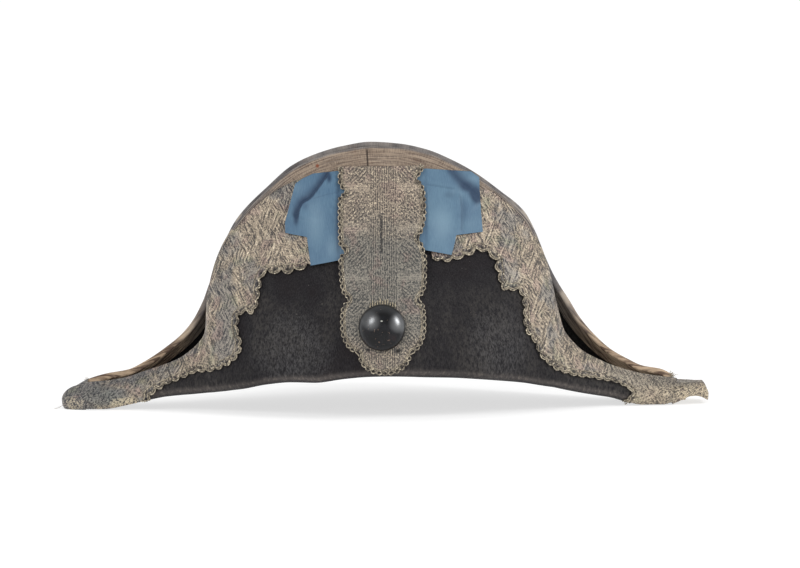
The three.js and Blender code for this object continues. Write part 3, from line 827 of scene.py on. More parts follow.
def makeFelt():
    # columns stand closer together where the rim climbs steeply
    fine = np.linspace(feltMesh["leftEnd"], feltMesh["rightEnd"], 2001) * felt["halfLength"]
    s = sectionAt(fine)
    weight = np.concatenate([[0], np.cumsum(np.diff(fine) + 0.5 * np.abs(np.diff(s["front"])))])
    xs = np.interp(np.linspace(0, weight[-1], feltMesh["columns"]), weight, fine)
    sections = sectionAt(xs)
    sheet = np.stack([feltPath(x) for x in xs])
    alongX = np.gradient(sheet, axis=0)
    alongPath = np.gradient(sheet, axis=1)
    normal = unit(np.cross(alongPath, alongX))
    rows = feltMesh["leafRows"] + feltMesh["bendRows"]
    for side, part in ((-1, slice(0, rows)), (1, slice(sheet.shape[1] - rows, sheet.shape[1]))):
        lift = swell(sheet[:, part, 0], sheet[:, part, 2], side)
        sheet[:, part] += normal[:, part] * lift[..., None]
    half = felt["wall"] / 2
    outer, inner = sheet + normal * half, sheet - normal * half
    # the floors of the horns lie flat, above the lace that wraps them
    onHorn = np.abs(sheet[..., 0]) > feltMesh["floorFrom"] * felt["halfLength"]
    floor = np.where(onHorn, feltMesh["floor"], 0.0)
    for grid in (outer, inner):
        grid[..., 2] = np.maximum(grid[..., 2], floor)
    points, faces = wallBetween(outer, inner)
    down = np.concatenate([leafShares, np.linspace(1, 2, feltMesh["bendRows"] + 1)[1:],
                           np.full(feltMesh["runRows"], 3.0)])
    path = np.concatenate([down, np.full(feltMesh["crownRows"] - 1, 4.0), down[::-1]])
    tall = (sections["front"] - sections["bottom"] - sections["radius"])[:, None]
    bend = sections["radius"][:, None] * 1.57
    fromFold = np.where(path[None] < 1, (path[None] - 1) * tall, (path[None] - 1) * bend)
    # the worn line on the fold, partly a painted highlight
    wearAndHighlight = feltWearAndHighlight["amount"] * np.exp(-((fromFold - feltWearAndHighlight["above"]) / feltWearAndHighlight["width"]) ** 2)
    wearAndHighlight = wearAndHighlight + feltWearAndHighlight["underAmount"] * np.exp(-((path[None] - 2.0) / feltWearAndHighlight["underWidth"]) ** 2)
    wearAndHighlight = wearAndHighlight * (0.72 + 0.28 * np.sin(sheet[..., 0] / 17 + 1) * np.sin(sheet[..., 0] / 41))
    wearAndHighlight = np.clip(wearAndHighlight, 0, 1).ravel()
    wearAndHighlight = np.concatenate([wearAndHighlight, np.zeros(len(wearAndHighlight))])
    piece = makePiece("felt_hat", points, faces, feltFinish, attributes={"wearAndHighlight": wearAndHighlight})
    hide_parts("felt_body")
    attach(piece, "root")


makeFelt()
print("felt made")

# Bindings: a ribbed ribbon folded over each rim


binding = {"wall": 0.8, "seat": 1.55, "beyond": 1.1, "width": 11.5, "backWidth": 5.5,
           "columns": 420, "rows": 15}
# at, share of the width
bindingRows = [[-0.93, 0.15], [-0.43, 0.15], [-0.35, 0.30], [-0.27, 0.65], [-0.20, 1.00],
               [-0.12, 1.14], [0.12, 1.14], [0.20, 1.00], [0.29, 0.65], [0.34, 0.15], [0.90, 0.15]]
readBinding = smoothTable(bindingRows)


def rimPoints(side, xs, width=0.0):
    s = sectionAt(xs)
    z = s["front"] if side < 0 else s["back"]
    line = np.stack([xs, z], -1)
    ahead = unit(np.gradient(line, axis=0))
    below = np.stack([ahead[:, 1], -ahead[:, 0]], -1)
    return line + below * np.broadcast_to(width, len(xs))[:, None]


def rimStations(side, start, end, count):
    fine = np.linspace(start, end, 3001)
    line = rimPoints(side, fine)
    length = lineLength(line)
    at = np.linspace(0, length[-1], count)
    return np.interp(at, length, fine), at


# A strip folded over a rim: its rings of points, its faces and how far each place lies below the rim
def foldedStrip(side, xs, width, face, inner, beyond, count, ridge=lambda far: 0.0):
    line = rimPoints(side, xs)
    ahead = unit(np.gradient(line, axis=0))
    below = np.stack([ahead[:, 1], -ahead[:, 0]], -1)
    steps = np.linspace(1, 0, count)
    turns = np.linspace(0, math.pi, 9)
    even = np.ones(len(xs))

    # the strip's rows on the outer or the inner side of the leaf
    def flank(offset, shares, inward):
        made = []
        for share in shares:
            place = line + below * (width * share)[:, None]
            down = downAt(side, place[:, 0], place[:, 1])
            point, normal = leafPlace(side, place[:, 0], np.minimum(down, 1.9))
            lift = offset(width * share)
            made.append(point + normal * (-lift if inward else lift)[:, None])
        return made

    def outside(far):
        return face + ridge(far) * even

    def inside(far):
        return inner * even

    rimPlace, rimNormal = leafPlace(side, xs, np.zeros(len(xs)))
    tangent = unit(np.gradient(rimPlace, axis=0))
    up = unit(np.cross(tangent, rimNormal))
    up *= np.sign(up[:, 2])[:, None]

    # the rows that turn over the rim
    def over(radius, reach, angles):
        return [rimPlace + rimNormal * (radius * math.cos(t))[:, None] + up * (reach * math.sin(t))[:, None]
                for t in angles]

    ring = flank(outside, steps, False)
    ring += over((face + 0.1) * even, (beyond + 0.15) * even, turns[1:-1])
    ring += flank(outside, steps[::-1], True)
    ring += flank(inside, steps[::3], True)
    ring += over(inner * even, 0.25 * even, turns[::-1][1:-1])
    ring += flank(inside, steps[::-1][::3], False)
    grid = np.stack(ring, 1)
    rows = grid.shape[1]
    faces = gridFaces(len(xs), rows, around=True)
    faces.append(tuple(range(rows - 1, -1, -1)))
    faces.append(tuple(range((len(xs) - 1) * rows, len(xs) * rows)))
    top = np.zeros(len(turns) - 2)
    across = np.concatenate([steps, top, steps[::-1], steps[::3], top, steps[::-1][::3]])
    return grid, faces, across[None, :] * width[:, None]


def makeBinding(name, node, side, start, end, widthAt):
    xs, along = rimStations(side, start * felt["halfLength"], end * felt["halfLength"], binding["columns"])

    def ridge(far):
        return 0.1 * np.cos(far / 1.7) + 0.06 * np.sin(along / 7 + far)

    grid, faces, farDown = foldedStrip(
        side, xs, widthAt(xs / felt["halfLength"]), binding["seat"] + binding["wall"], binding["seat"] - 0.1,
        binding["beyond"], binding["rows"], ridge)
    uv = np.stack([np.repeat(along[:, None], grid.shape[1], 1), farDown], -1).reshape(-1, 2) * 0.01
    rim = np.clip(np.exp(-(farDown / 1.5) ** 2), 0, 1).ravel()
    piece = makePiece(name, grid.reshape(-1, 3), faces, bindingFinish, uv, {"rim": rim})
    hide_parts(node)
    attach(piece, "root")


makeBinding("front_rim_binding", "front_binding", -1, -0.93, 0.90,
            lambda at: readBinding(at)[:, 0] * binding["width"])
makeBinding("back_rim_binding", "back_binding", 1, -0.93, 0.89,
            lambda at: np.full(len(at), binding["backWidth"]))
print("bindings made")

# Lace on the front leaf


lace = {"near": 1.5, "far": 2.55, "relief": 0.7, "spacing": 0.85, "rib": 1.9, "motif": 33.0, "horn": 0.93,
        "cord": 0.42, "foldFrom": 92.0, "foldDeep": 3.4, "foldEnd": {-1: 0.942, 1: 0.905},
        "dullFrom": 122.0, "dullOver": 45.0, "dull": {-1: 1.0, 1: 0.25}, "fineFrom": 135.0, "fineOver": 40.0}
# at, up: inner edges of the two edge laces
leftLaceRows = [[-0.20, 0.60], [-0.225, 0.561], [-0.28, 0.542], [-0.345, 0.537], [-0.37, 0.53],
                [-0.378, 0.483], [-0.38, 0.442], [-0.395, 0.385], [-0.424, 0.392], [-0.446, 0.371],
                [-0.447, 0.317], [-0.432, 0.265], [-0.451, 0.211], [-0.52, 0.165], [-0.575, 0.159],
                [-0.648, 0.118], [-0.722, 0.069], [-0.736, 0.03]]
rightLaceRows = [[0.145, 0.589], [0.185, 0.58], [0.231, 0.586], [0.268, 0.609], [0.299, 0.618],
                 [0.34, 0.58], [0.347, 0.533], [0.352, 0.493], [0.367, 0.464], [0.408, 0.468],
                 [0.426, 0.432], [0.425, 0.327], [0.462, 0.261], [0.474, 0.213], [0.521, 0.163],
                 [0.578, 0.134], [0.645, 0.116], [0.726, 0.093], [0.770, 0.049], [0.734, 0.02]]
# arches along the edge: how far along, their pitch and their rise, in millimetres
leftArches = [[0, 9.0, 3.3], [36, 9.0, 3.3], [44, 6.6, 2.2], [140, 6.2, 1.8], [240, 5.4, 1.1]]
rightArches = [[0, 6.4, 2.2], [20, 8.2, 3.0], [46, 8.2, 3.0], [60, 6.6, 2.2], [150, 6.2, 1.7],
               [205, 5.2, 0.8], [260, 5.0, 0.6]]


def toMillimetres(rows):
    return np.array(rows, float) * [felt["halfLength"], felt["height"]]


# The line set off sideways by a distance that may change along it; +1 is to the right of its run
def offsetLine(line, side, distance):
    line = resample(line, 0.45)
    far = lineLength(line)
    ahead = np.gradient(line, axis=0)
    for _ in range(3):  # the direction is evened out, so that corners stay clean
        ahead[1:-1] = (ahead[:-2] + ahead[1:-1] * 2 + ahead[2:]) / 4
    ahead = unit(ahead)
    normal = np.stack([ahead[:, 1], -ahead[:, 0]], -1) * side
    return line + normal * distance(far)[:, None], far


def arches(count, power=0.8):
    return np.abs(np.sin(math.pi * count)) ** power


# How many arches lie before each place, and how high the arch there rises
def archRun(rows):
    table = np.array(rows, float)
    fine = np.arange(0, table[-1, 0] + 60, 0.25)
    count = np.concatenate([[0], np.cumsum(0.25 / np.interp(fine, table[:, 0], table[:, 1]))[:-1]])

    def read(far):
        number = np.interp(far, fine, count)
        whole = np.floor(number)
        own = 1 + 0.26 * np.sin(whole * 2.4 + table[0, 1]) + 0.12 * np.sin(whole * 5.1)
        return number, np.interp(far, table[:, 0], table[:, 2]) * own
    return read


# Height and lightness of the lace, from places along and across its band
def lacePattern(along, across, edge):
    width = across + edge
    turn = 2 * math.pi
    ribs = 0.5 + 0.5 * np.cos(turn * along / lace["rib"] + 0.8 * np.sin(across / 3.1))
    u = (along / lace["motif"]) % 1 - 0.5
    v = (across / width - 0.5) * 2
    leaf = 0.82 * np.cos(math.pi * u) ** 0.7 - np.abs(v)
    inLeaf = np.clip(leaf / 0.16 + 0.5, 0, 1)
    veins = 0.5 + 0.5 * np.cos(turn * (along * 0.62 + np.abs(across - width / 2) * 0.9) / 2.3)
    net = 0.5 + 0.5 * np.cos(turn * (along + across) / 2.9)
    net = net * (0.5 + 0.5 * np.cos(turn * (along - across) / 2.9))
    outline = np.exp(-(leaf / 0.08) ** 2)
    height = inLeaf * (0.5 + 0.5 * veins) + (1 - inLeaf) * (0.25 + 0.4 * ribs + 0.3 * net) + 0.25 * outline
    light = inLeaf * (0.45 + 0.4 * veins) + (1 - inLeaf) * (0.4 + 0.25 * ribs + 0.3 * net) + 0.15 * outline
    return np.clip(height, 0, 1.3), np.clip(light, 0, 1)


def makeEdgeLace(name, node, rows, archRows, side):
    edge = roundedLine(toMillimetres(rows), 1)
    run = archRun(archRows)

    def arched(push, share):
        def distance(far):
            count, rise = run(far)
            return push - rise * 0.5 + rise * share * arches(count)
        return distance

    def behind(far):
        count, rise = run(far)
        return -2.9 - 0.35 * rise + 0.5 * arches(count)

    scalloped, _ = offsetLine(edge, side, arched(-0.1, 1.0))
    startX, endX = edge[0, 0], side * lace["horn"] * felt["halfLength"]
    stations, _ = rimStations(-1, min(startX, endX), max(startX, endX), 260)
    at = stations / felt["halfLength"]
    width = readBinding(at)[:, 0] * binding["width"]
    # the lace laps the binding's lower edge, and along the horns it reaches the very edge
    upper = rimPoints(-1, stations, np.maximum(width - 1.4, 0.6))
    if side < 0:
        upper = upper[::-1]
    lowXs = np.linspace(edge[-1, 0], endX, 50)
    lower = np.stack([lowXs, sectionAt(lowXs)["bottom"] + 0.1], -1)
    outline = np.concatenate([scalloped, lower, upper[::-1]])
    places, triangles = fillOutline(outline, lace["spacing"])
    across, along = nearestOn(places, upper)
    toEdge, alongEdge = nearestOn(places, resample(edge, 0.45))
    inner = insideOf(places, np.concatenate([edge, lower, upper[::-1]]))
    toEdge = np.where(inner, toEdge, -toEdge)
    toLow, _ = nearestOn(places, np.concatenate([edge, lower]))
    height, light = lacePattern(along, across, toLow)
    count, rise = run(alongEdge)
    # painted shade: the eyes under the arches and a groove inside them are darkened, where shade and the
    # black felt below show
    eye = np.exp(-((toEdge - 0.55 - 0.1 * rise) / (0.45 + 0.26 * rise)) ** 2) * arches(count, 7)
    grooveShade = np.exp(-((toEdge - 2.2 - rise * 0.5 + rise * 0.8 * arches(count)) / 0.45) ** 2) * 0.5
    light = light * (1 - eye) * (1 - grooveShade)
    height = height * (1 - eye) * (1 - grooveShade * 0.6)
    rimLift = np.clip(1 - across / 4.5, 0, 1) ** 0.6
    far = lace["far"] + lace["relief"] * (height - 0.5) + 0.75 * rimLift
    points, faces = layerOnFront(places, triangles, lace["near"] + 1.0 * rimLift, far)
    # the part folded over the rim, which comes up out of the binding little by little
    ends = sorted((side * lace["foldFrom"], side * lace["foldEnd"][side] * felt["halfLength"]))
    foldXs, _ = rimStations(-1, ends[0], ends[1], 240)
    out = np.clip((np.abs(foldXs) - lace["foldFrom"]) / 16, 0, 1)
    out = out * out * (3 - 2 * out)
    fold, foldFaces, _ = foldedStrip(-1, foldXs, np.full(len(foldXs), lace["foldDeep"]), 1.9 + 1.3 * out, 1.3,
                                     0.8 + 0.85 * out, 7, lambda far: 0.12 * np.sin(foldXs / 1.3 + far) * out)
    faces = faces + [tuple(k + len(points) for k in f) for f in foldFaces]
    points = np.concatenate([points, fold.reshape(-1, 3)])
    light = np.concatenate([light, light, np.full(fold.shape[0] * fold.shape[1], 0.55)])
    outward = np.abs(points[:, 0])
    dull = np.clip((outward - lace["dullFrom"]) / lace["dullOver"], 0, 1) * lace["dull"][side]
    fine = np.clip((outward - lace["fineFrom"]) / lace["fineOver"], 0, 1) * 0.55
    piece = makePiece(name, points, faces, laceFinish,
                      attributes={"shade": light, "dull": dull, "fine": fine}, sharpAt=75)
    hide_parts(node)
    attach(piece, "root")
    # cords that run in arches round the eyes, and one behind them
    return [(offsetLine(edge, side, arched(-0.15, 1.0))[0], 2.75),
            (offsetLine(edge, side, arched(-1.15, 0.92))[0], 2.85),
            (offsetLine(edge, side, behind)[0], 2.8)]


leftCords = makeEdgeLace("edge_lace_left_worked", "edge_lace_left", leftLaceRows, leftArches, -1)
rightCords = makeEdgeLace("edge_lace_right_worked", "edge_lace_right", rightLaceRows, rightArches, 1)
print("edge laces made")

# Centre strap: cross bars, leaves hatched aslant between them and ribs down the middle
strap = {"spacing": 0.6, "near": 1.5, "far": 2.6, "lift": 2.95, "relief": 0.85, "bars": (147.0, 121.0, 90.5),
         "leaves": (155.5, 134.0, 105.5, 77.5, 52.0), "leafOut": 17.0, "leafWide": 7.5, "leafHigh": 9.5,
         "rampLow": 80.0, "rampHigh": 97.0, "rib": strapRib, "eye": 4.15, "cord": 0.34, "foot": 0.171}
# up, left, right
strapRows = [[0.178, -0.034, 0.034], [0.192, -0.058, 0.058], [0.213, -0.072, 0.075], [0.235, -0.079, 0.083],
             [0.247, -0.078, 0.083], [0.256, -0.096, 0.097], [0.275, -0.115, 0.112], [0.32, -0.131, 0.128],
             [0.40, -0.131, 0.127], [0.43, -0.122, 0.122], [0.445, -0.107, 0.106], [0.46, -0.124, 0.120],
             [0.49, -0.131, 0.130], [0.58, -0.137, 0.132], [0.602, -0.133, 0.131], [0.617, -0.117, 0.126],
             [0.632, -0.132, 0.124], [0.648, -0.137, 0.118], [0.662, -0.137, 0.107], [0.68, -0.137, 0.121],
             [0.735, -0.138, 0.131], [0.80, -0.138, 0.131], [0.818, -0.132, 0.130], [0.828, -0.117, 0.129],
             [0.842, -0.131, 0.127], [0.862, -0.138, 0.118], [0.876, -0.139, 0.106], [0.892, -0.138, 0.120],
             [0.92, -0.137, 0.129]]


def strapLift(z):
    share = np.clip((z - strap["rampLow"]) / (strap["rampHigh"] - strap["rampLow"]), 0, 1)
    return strap["lift"] * share * share * (3 - 2 * share)


def strapPattern(x, z):
    turn = 2 * math.pi
    centre = np.clip((9.4 - np.abs(x + 0.2)) / 1.0, 0, 1)
    ribs = 0.5 + 0.5 * np.cos(turn * (x + 0.2) / strap["rib"])
    height, light = 0.45 + 0 * x, 0.5 + 0 * x
    # a leaf on each side between the bars, hatched towards the middle
    for level in strap["leaves"]:
        for out in (-1, 1):
            u, v = (x - out * strap["leafOut"]) * out, z - level
            away = np.hypot((u + v * 0.35) / strap["leafWide"], (v - u * 0.35) / strap["leafHigh"])
            leaf = np.clip((1 - away) / 0.18, 0, 1)
            hatch = 0.5 + 0.5 * np.cos(turn * (u * 0.72 + v * 0.69) / 1.9)
            height = height * (1 - leaf) + leaf * (0.35 + 0.45 * hatch)
            light = light * (1 - leaf) + leaf * (0.28 + 0.38 * hatch)
            rim = np.exp(-((away - 1.08) / 0.07) ** 2)
            light = light + 0.15 * rim
            height = height + 0.25 * rim
    for level in strap["bars"]:
        bar = np.exp(-((z - level - np.abs(x) * 0.05) / 2.3) ** 4) * np.clip((26.5 - np.abs(x)) / 2, 0, 1)
        thread = 0.5 + 0.5 * np.cos(turn * (z - level) / 1.5)
        height = height * (1 - bar) + bar * (0.6 + 0.4 * thread)
        light = light * (1 - bar) + bar * (0.55 + 0.35 * thread)
    height = height * (1 - centre) + centre * (0.45 + 0.4 * ribs)
    light = light * (1 - centre) + centre * (0.40 + 0.25 * ribs)
    # painted shade in a slit above the button and in two hollows below it
    slit = np.exp(-((x + 1.3) / 0.45) ** 2) * np.clip((z - 106) / 2, 0, 1) * np.clip((131 - z) / 2, 0, 1)
    hollowShade = (np.exp(-((x + 10.2) / 1.6) ** 2 - ((z - 46.3) / 1.3) ** 2)
            + np.exp(-((x - 9.0) / 2.0) ** 2 - ((z - 45.6) / 1.7) ** 2))
    dark = np.clip(0.95 * slit + hollowShade, 0, 1)
    return np.clip(height * (1 - 0.9 * dark), 0, 1.3), np.clip(light * (1 - dark), 0, 1)


def makeStrap():
    left = [[leftAt, up] for up, leftAt, _ in strapRows]
    right = [[rightAt, up] for up, _, rightAt in strapRows]
    edge = roundedLine(toMillimetres(left[::-1] + [[0, strap["foot"]]] + right), 1)
    eye = strap["eye"]
    outline, _ = offsetLine(edge, 1, lambda far: -1.75 + 1.2 * arches(far / eye))
    places, triangles = fillOutline(outline, strap["spacing"])
    toEdge, alongEdge = nearestOn(places, resample(edge, 0.45))
    toEdge = np.where(insideOf(places, edge), toEdge, -toEdge)
    height, light = strapPattern(places[:, 0], places[:, 1])
    # painted shade in the eyes along the edge, where shade and the black felt show through
    eyeShade = np.exp(-((toEdge - 1.55) / 0.68) ** 4) * arches(alongEdge / eye, 2.5)
    light, height = light * (1 - eyeShade), height * (1 - 0.9 * eyeShade)
    lift = strapLift(places[:, 1])
    points, faces = layerOnFront(places, triangles, strap["near"] + lift,
                                 strap["far"] + lift + strap["relief"] * (height - 0.5))
    dull = np.clip((138 - places[:, 1]) / 35, 0, 1) * np.clip((places[:, 1] - 30) / 40, 0.3, 1)
    piece = makePiece("strap_lace_worked", points, faces, strapFinish,
                      attributes={"shade": np.tile(light, 2), "dull": np.tile(dull, 2)}, sharpAt=75)
    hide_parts("loop_lace")
    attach(piece, "root")
    # two cords that cross over and under, and leave an eye between each crossing
    cords = []
    for way in (1, -1):
        line, far = offsetLine(edge, 1, lambda far, way=way: -1.55 + way * 1.15 * np.sin(math.pi * far / eye))
        cords.append((line, 2.85 + way * 0.25 * np.cos(math.pi * far / eye)))
    line, far = offsetLine(edge, 1, lambda far: -3.3 + 0.25 * np.cos(2 * math.pi * far / eye))
    cords.append((line, np.full(len(line), 2.75)))
    return cords


strapCords = makeStrap()
print("strap made")

# Lace sleeves that close the tips of the horns
sleeves = {
    "left": {"side": -1, "start": 0.925, "reach": 216.2, "slant": 0.30, "round": 5.0, "top": 18.5,
             "fill": 0.0, "dull": 0.9, "arch": [(0, 0), (1, 0)]},
    "right": {"side": 1, "start": 0.890, "reach": 216.2, "slant": 0.40, "round": 1.8, "top": 14.2,
              "fill": 1.0, "dull": 0.15,
              "arch": [(0, 0), (0.1, 0.4), (0.3, 3.4), (0.45, 3.3), (0.6, 2.6), (0.9, 0.4), (1, 0.1)]},
}
sleeveShape = {"away": 2.75, "rings": 30, "rows": 22, "body": 0.992, "below": 2.7, "endRound": 2.6}


def makeHornSleeve(name, sizes):
    side = sizes["side"]
    start = side * sizes["start"] * felt["halfLength"]
    end = side * sizes["reach"]
    away, endRound = sleeveShape["away"], sleeveShape["endRound"]
    down = np.linspace(0.02, 1.98, sleeveShape["rows"])
    rings = []
    for share in np.linspace(0, 1, sleeveShape["rings"]).tolist():
        x = start + (end - start) * (1 - (1 - share) ** 1.6)
        body = x * sleeveShape["body"]
        s = {key: float(value) for key, value in sectionAt(body).items()}
        front = leafPlace(-1, np.full(len(down), body), down, away)[0]
        back = leafPlace(1, np.full(len(down), body), down[::-1], away)[0]
        crest, lid = max(s["front"], s["back"]) + 1.2, 0.45 * s["gap"]
        cover = np.array([[body, lid, crest], [body, 0, crest + 0.2], [body, -lid, crest]])
        far, high = np.array(sizes["arch"]).T
        low = s["bottom"] - sleeveShape["below"] + float(np.interp(share, far, high))
        under = np.array([[body, -0.4 * s["depth"], low], [body, 0, low], [body, 0.4 * s["depth"], low]])
        ring = np.concatenate([front, under, back, cover])
        full = max((sizes["top"] - low) / (crest - low), 1)
        ring[:, 2] = low + (ring[:, 2] - low) * (1 + sizes["fill"] * (full - 1))
        ring[:, 2] = np.maximum(np.minimum(ring[:, 2], sizes["top"]), low)
        crest = min(max(crest, sizes["top"] * sizes["fill"]), sizes["top"])
        middle = np.array([x, 0, (crest + s["bottom"]) / 2])
        near = max(1 - abs(end - x) / sizes["round"], 0)
        close = max(1 - near**endRound, 0) ** (1 / endRound)
        ring[:, 1:] = middle[1:] + (ring[:, 1:] - middle[1:]) * max(close, 0.04)
        ring[:, 0] = x - side * sizes["slant"] * np.maximum(ring[:, 2] - 7, 0) * share
        rings.append(ring)
    grid = np.stack(rings)
    wave = (0.22 * np.sin(grid[..., 0] / 1.3 + grid[..., 2]) * np.sin(grid[..., 2] / 1.1)
            + 0.35 * np.sin(grid[..., 0] / 5 + grid[..., 1] / 7 + grid[..., 2] / 3))
    grid[..., 1] += np.sign(grid[..., 1]) * wave
    grid[..., 2] = np.maximum(grid[..., 2], 0.05)
    rows = grid.shape[1]
    faces = gridFaces(len(rings), rows, around=True)
    faces += [tuple(range(rows - 1, -1, -1)), tuple(range((len(rings) - 1) * rows, len(rings) * rows))]
    same = np.ones(grid.shape[0] * grid.shape[1])
    attributes = {"shade": same * 0.55, "dull": same * sizes["dull"], "fine": same * 0.55}
    piece = makePiece(name, grid.reshape(-1, 3), faces, laceFinish, attributes=attributes, sharpAt=80)
    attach(piece, "root")


makeHornSleeve("horn_sleeve_left", sleeves["left"])
makeHornSleeve("horn_sleeve_right", sleeves["right"])
print("horn sleeves made")

# Cords along the lace edges, laid as paths and given their thickness by a node tree


def makeCordTree():
    tree = bpy.data.node_groups.new("laidCord", "GeometryNodeTree")
    face = tree.interface
    face.new_socket("Geometry", in_out="INPUT", socket_type="NodeSocketGeometry")
    face.new_socket("Cord radius", in_out="INPUT", socket_type="NodeSocketFloat").default_value = 0.0004
    face.new_socket("Sides", in_out="INPUT", socket_type="NodeSocketInt").default_value = 6
    face.new_socket("Seed", in_out="INPUT", socket_type="NodeSocketInt").default_value = 1
    face.new_socket("Finish", in_out="INPUT", socket_type="NodeSocketMaterial")
    face.new_socket("Geometry", in_out="OUTPUT", socket_type="NodeSocketGeometry")
    add, link = tree.nodes.new, tree.links.new
    given, made = add("NodeGroupInput"), add("NodeGroupOutput")
    path, profile = add("GeometryNodeMeshToCurve"), add("GeometryNodeCurvePrimitiveCircle")
    sweep = add("GeometryNodeCurveToMesh")
    vary, jitter = add("FunctionNodeRandomValue"), add("GeometryNodeSetPosition")
    vary.data_type = "FLOAT_VECTOR"
    vary.inputs["Min"].default_value = (-0.00013, -0.0001, -0.00013)
    vary.inputs["Max"].default_value = (0.00013, 0.0001, 0.00013)
    smooth, real = add("GeometryNodeSetShadeSmooth"), add("GeometryNodeRealizeInstances")
    coat = add("GeometryNodeSetMaterial")
    link(given.outputs["Geometry"], path.inputs["Mesh"])
    link(given.outputs["Seed"], vary.inputs["Seed"])
    link(path.outputs["Curve"], jitter.inputs["Geometry"])
    link(vary.outputs[0], jitter.inputs["Offset"])
    link(given.outputs["Cord radius"], profile.inputs["Radius"])
    link(given.outputs["Sides"], profile.inputs["Resolution"])
    link(jitter.outputs["Geometry"], sweep.inputs["Curve"])
    link(profile.outputs["Curve"], sweep.inputs["Profile Curve"])
    sweep.inputs["Fill Caps"].default_value = True
    link(sweep.outputs["Mesh"], smooth.inputs["Geometry"])
    link(smooth.outputs["Geometry"], real.inputs["Geometry"])
    link(real.outputs["Geometry"], coat.inputs["Geometry"])
    link(given.outputs["Finish"], coat.inputs["Material"])
    link(coat.outputs["Geometry"], made.inputs["Geometry"])
    return tree


cordTree = makeCordTree()


def makeCords(name, lines, radius, seed, finish):
    points, edges = [], []
    for line in lines:
        start = len(points)
        points += list(line)
        edges += [(start + k, start + k + 1) for k in range(len(line) - 1)]
    points = np.array(points)
    points[:, :2] += felt["shift"]
    mesh = bpy.data.meshes.new(name + "_paths")
    mesh.from_pydata((points * 0.001).tolist(), edges, [])
    holder = bpy.data.objects.new(name + "_paths", mesh)
    scene.collection.objects.link(holder)
    modifier = holder.modifiers.new("cord", "NODES")
    modifier.node_group = cordTree
    values = {"Cord radius": radius * 0.001, "Sides": 6, "Seed": seed, "Finish": finish}
    for item in cordTree.interface.items_tree:
        if item.in_out == "INPUT" and item.name in values:
            modifier[item.identifier] = values[item.name]
    made = bpy.data.meshes.new_from_object(holder.evaluated_get(bpy.context.evaluated_depsgraph_get()))
    made.name = name
    bpy.data.objects.remove(holder)
    piece = bpy.data.objects.new(name, made)
    scene.collection.objects.link(piece)
    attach(piece, "root")


# The stretches of a flat line that show, laid on the front leaf
def onFrontLine(line, away, hidden=None):
    away = np.broadcast_to(np.asarray(away, float), (len(line),))
    point, _ = onFront(line[:, 0], line[:, 1], away)
    point[:, 2] = np.maximum(point[:, 2], 0.6)
    if hidden is None:
        return [point]
    shown = ~hidden(line[:, 0], line[:, 1])
    cuts = np.flatnonzero(np.diff(shown.astype(int))) + 1
    parts = zip(np.split(point, cuts), np.split(shown, cuts))
    return [part for part, seen in parts if seen[0] and len(part) > 3]


def layCords(name, cords, hidden, radius, seed, lift=lambda z: 0 * z):
    lines = []
    for line, height in cords:
        lines += onFrontLine(line, height + lift(line[:, 1]), hidden)
    makeCords(name, lines, radius, seed, cordFinish)


# the edge laces' cords end where the ribbons and the strap hide them
layCords("lace_cords_left", leftCords, lambda x, z: (x > -50.5) & (z > 97), lace["cord"], 3)
layCords("lace_cords_right", rightCords, lambda x, z: (x < 43) & (z > 104), lace["cord"], 4)
layCords("strap_cords", strapCords, None, strap["cord"], 5, strapLift)
print("cords made")

# Silk ribbons


ribbon = {"wall": 0.45, "over": 3.55, "spacing": 0.7, "brink": 0.55, "freeFrom": 27.5}
leftRibbonRows = [[-0.268, 0.857], [-0.244, 0.877], [-0.213, 0.894], [-0.13, 0.905], [-0.11, 0.90],
                  [-0.11, 0.59], [-0.219, 0.563], [-0.231, 0.665], [-0.297, 0.678], [-0.299, 0.714]]
rightRibbonRows = [[0.10, 0.905], [0.131, 0.91], [0.27, 0.895], [0.295, 0.873], [0.295, 0.841],
                   [0.298, 0.748], [0.302, 0.676], [0.221, 0.668], [0.215, 0.637],
                   [0.205, 0.598], [0.10, 0.625]]
# fold lines of the silk, in millimetres: height of the step, how far it spreads on the high side,
# depth of the dip on the low side and how far it and its painted shade spread, how far the painted shade
# spreads on the high side, darkness of the painted shade, and which side is high
leftFolds = [
    {"line": [(-35.0, 158.5), (-36.4, 155.0), (-41.5, 148), (-47.2, 140.5), (-52.6, 138), (-54.6, 134),
              (-55.8, 127.5)],
     "step": 1.5, "spread": 9.0, "dip": 0.5, "shade": 4.4, "sharp": 0.45, "dark": 0.88, "side": 1},
    {"line": [(-47.2, 140.5), (-38, 143.2), (-29, 145.2)],
     "step": 0.25, "spread": 3.0, "dip": 0.1, "shade": 1.0, "sharp": 0.4, "dark": 0.30, "side": 1},
]
rightFolds = [
    {"line": [(43, 160.5), (45.5, 156.0), (52.5, 149), (58.0, 144.5), (65.5, 137.5)],
     "step": 0.7, "spread": 8.0, "dip": 0.5, "shade": 5.2, "sharp": 3.2, "dark": 0.74, "side": -1},
    {"line": [(28, 149.0), (38, 147.3), (48, 145.5)],
     "step": 0.3, "spread": 4.0, "dip": 0.1, "shade": 1.3, "sharp": 0.4, "dark": 0.30, "side": -1},
    {"line": [(50, 143), (51, 134), (50.5, 118)],
     "step": 0.7, "spread": 5.0, "dip": 0.3, "shade": 2.5, "sharp": 0.6, "dark": 0.35, "side": -1},
]
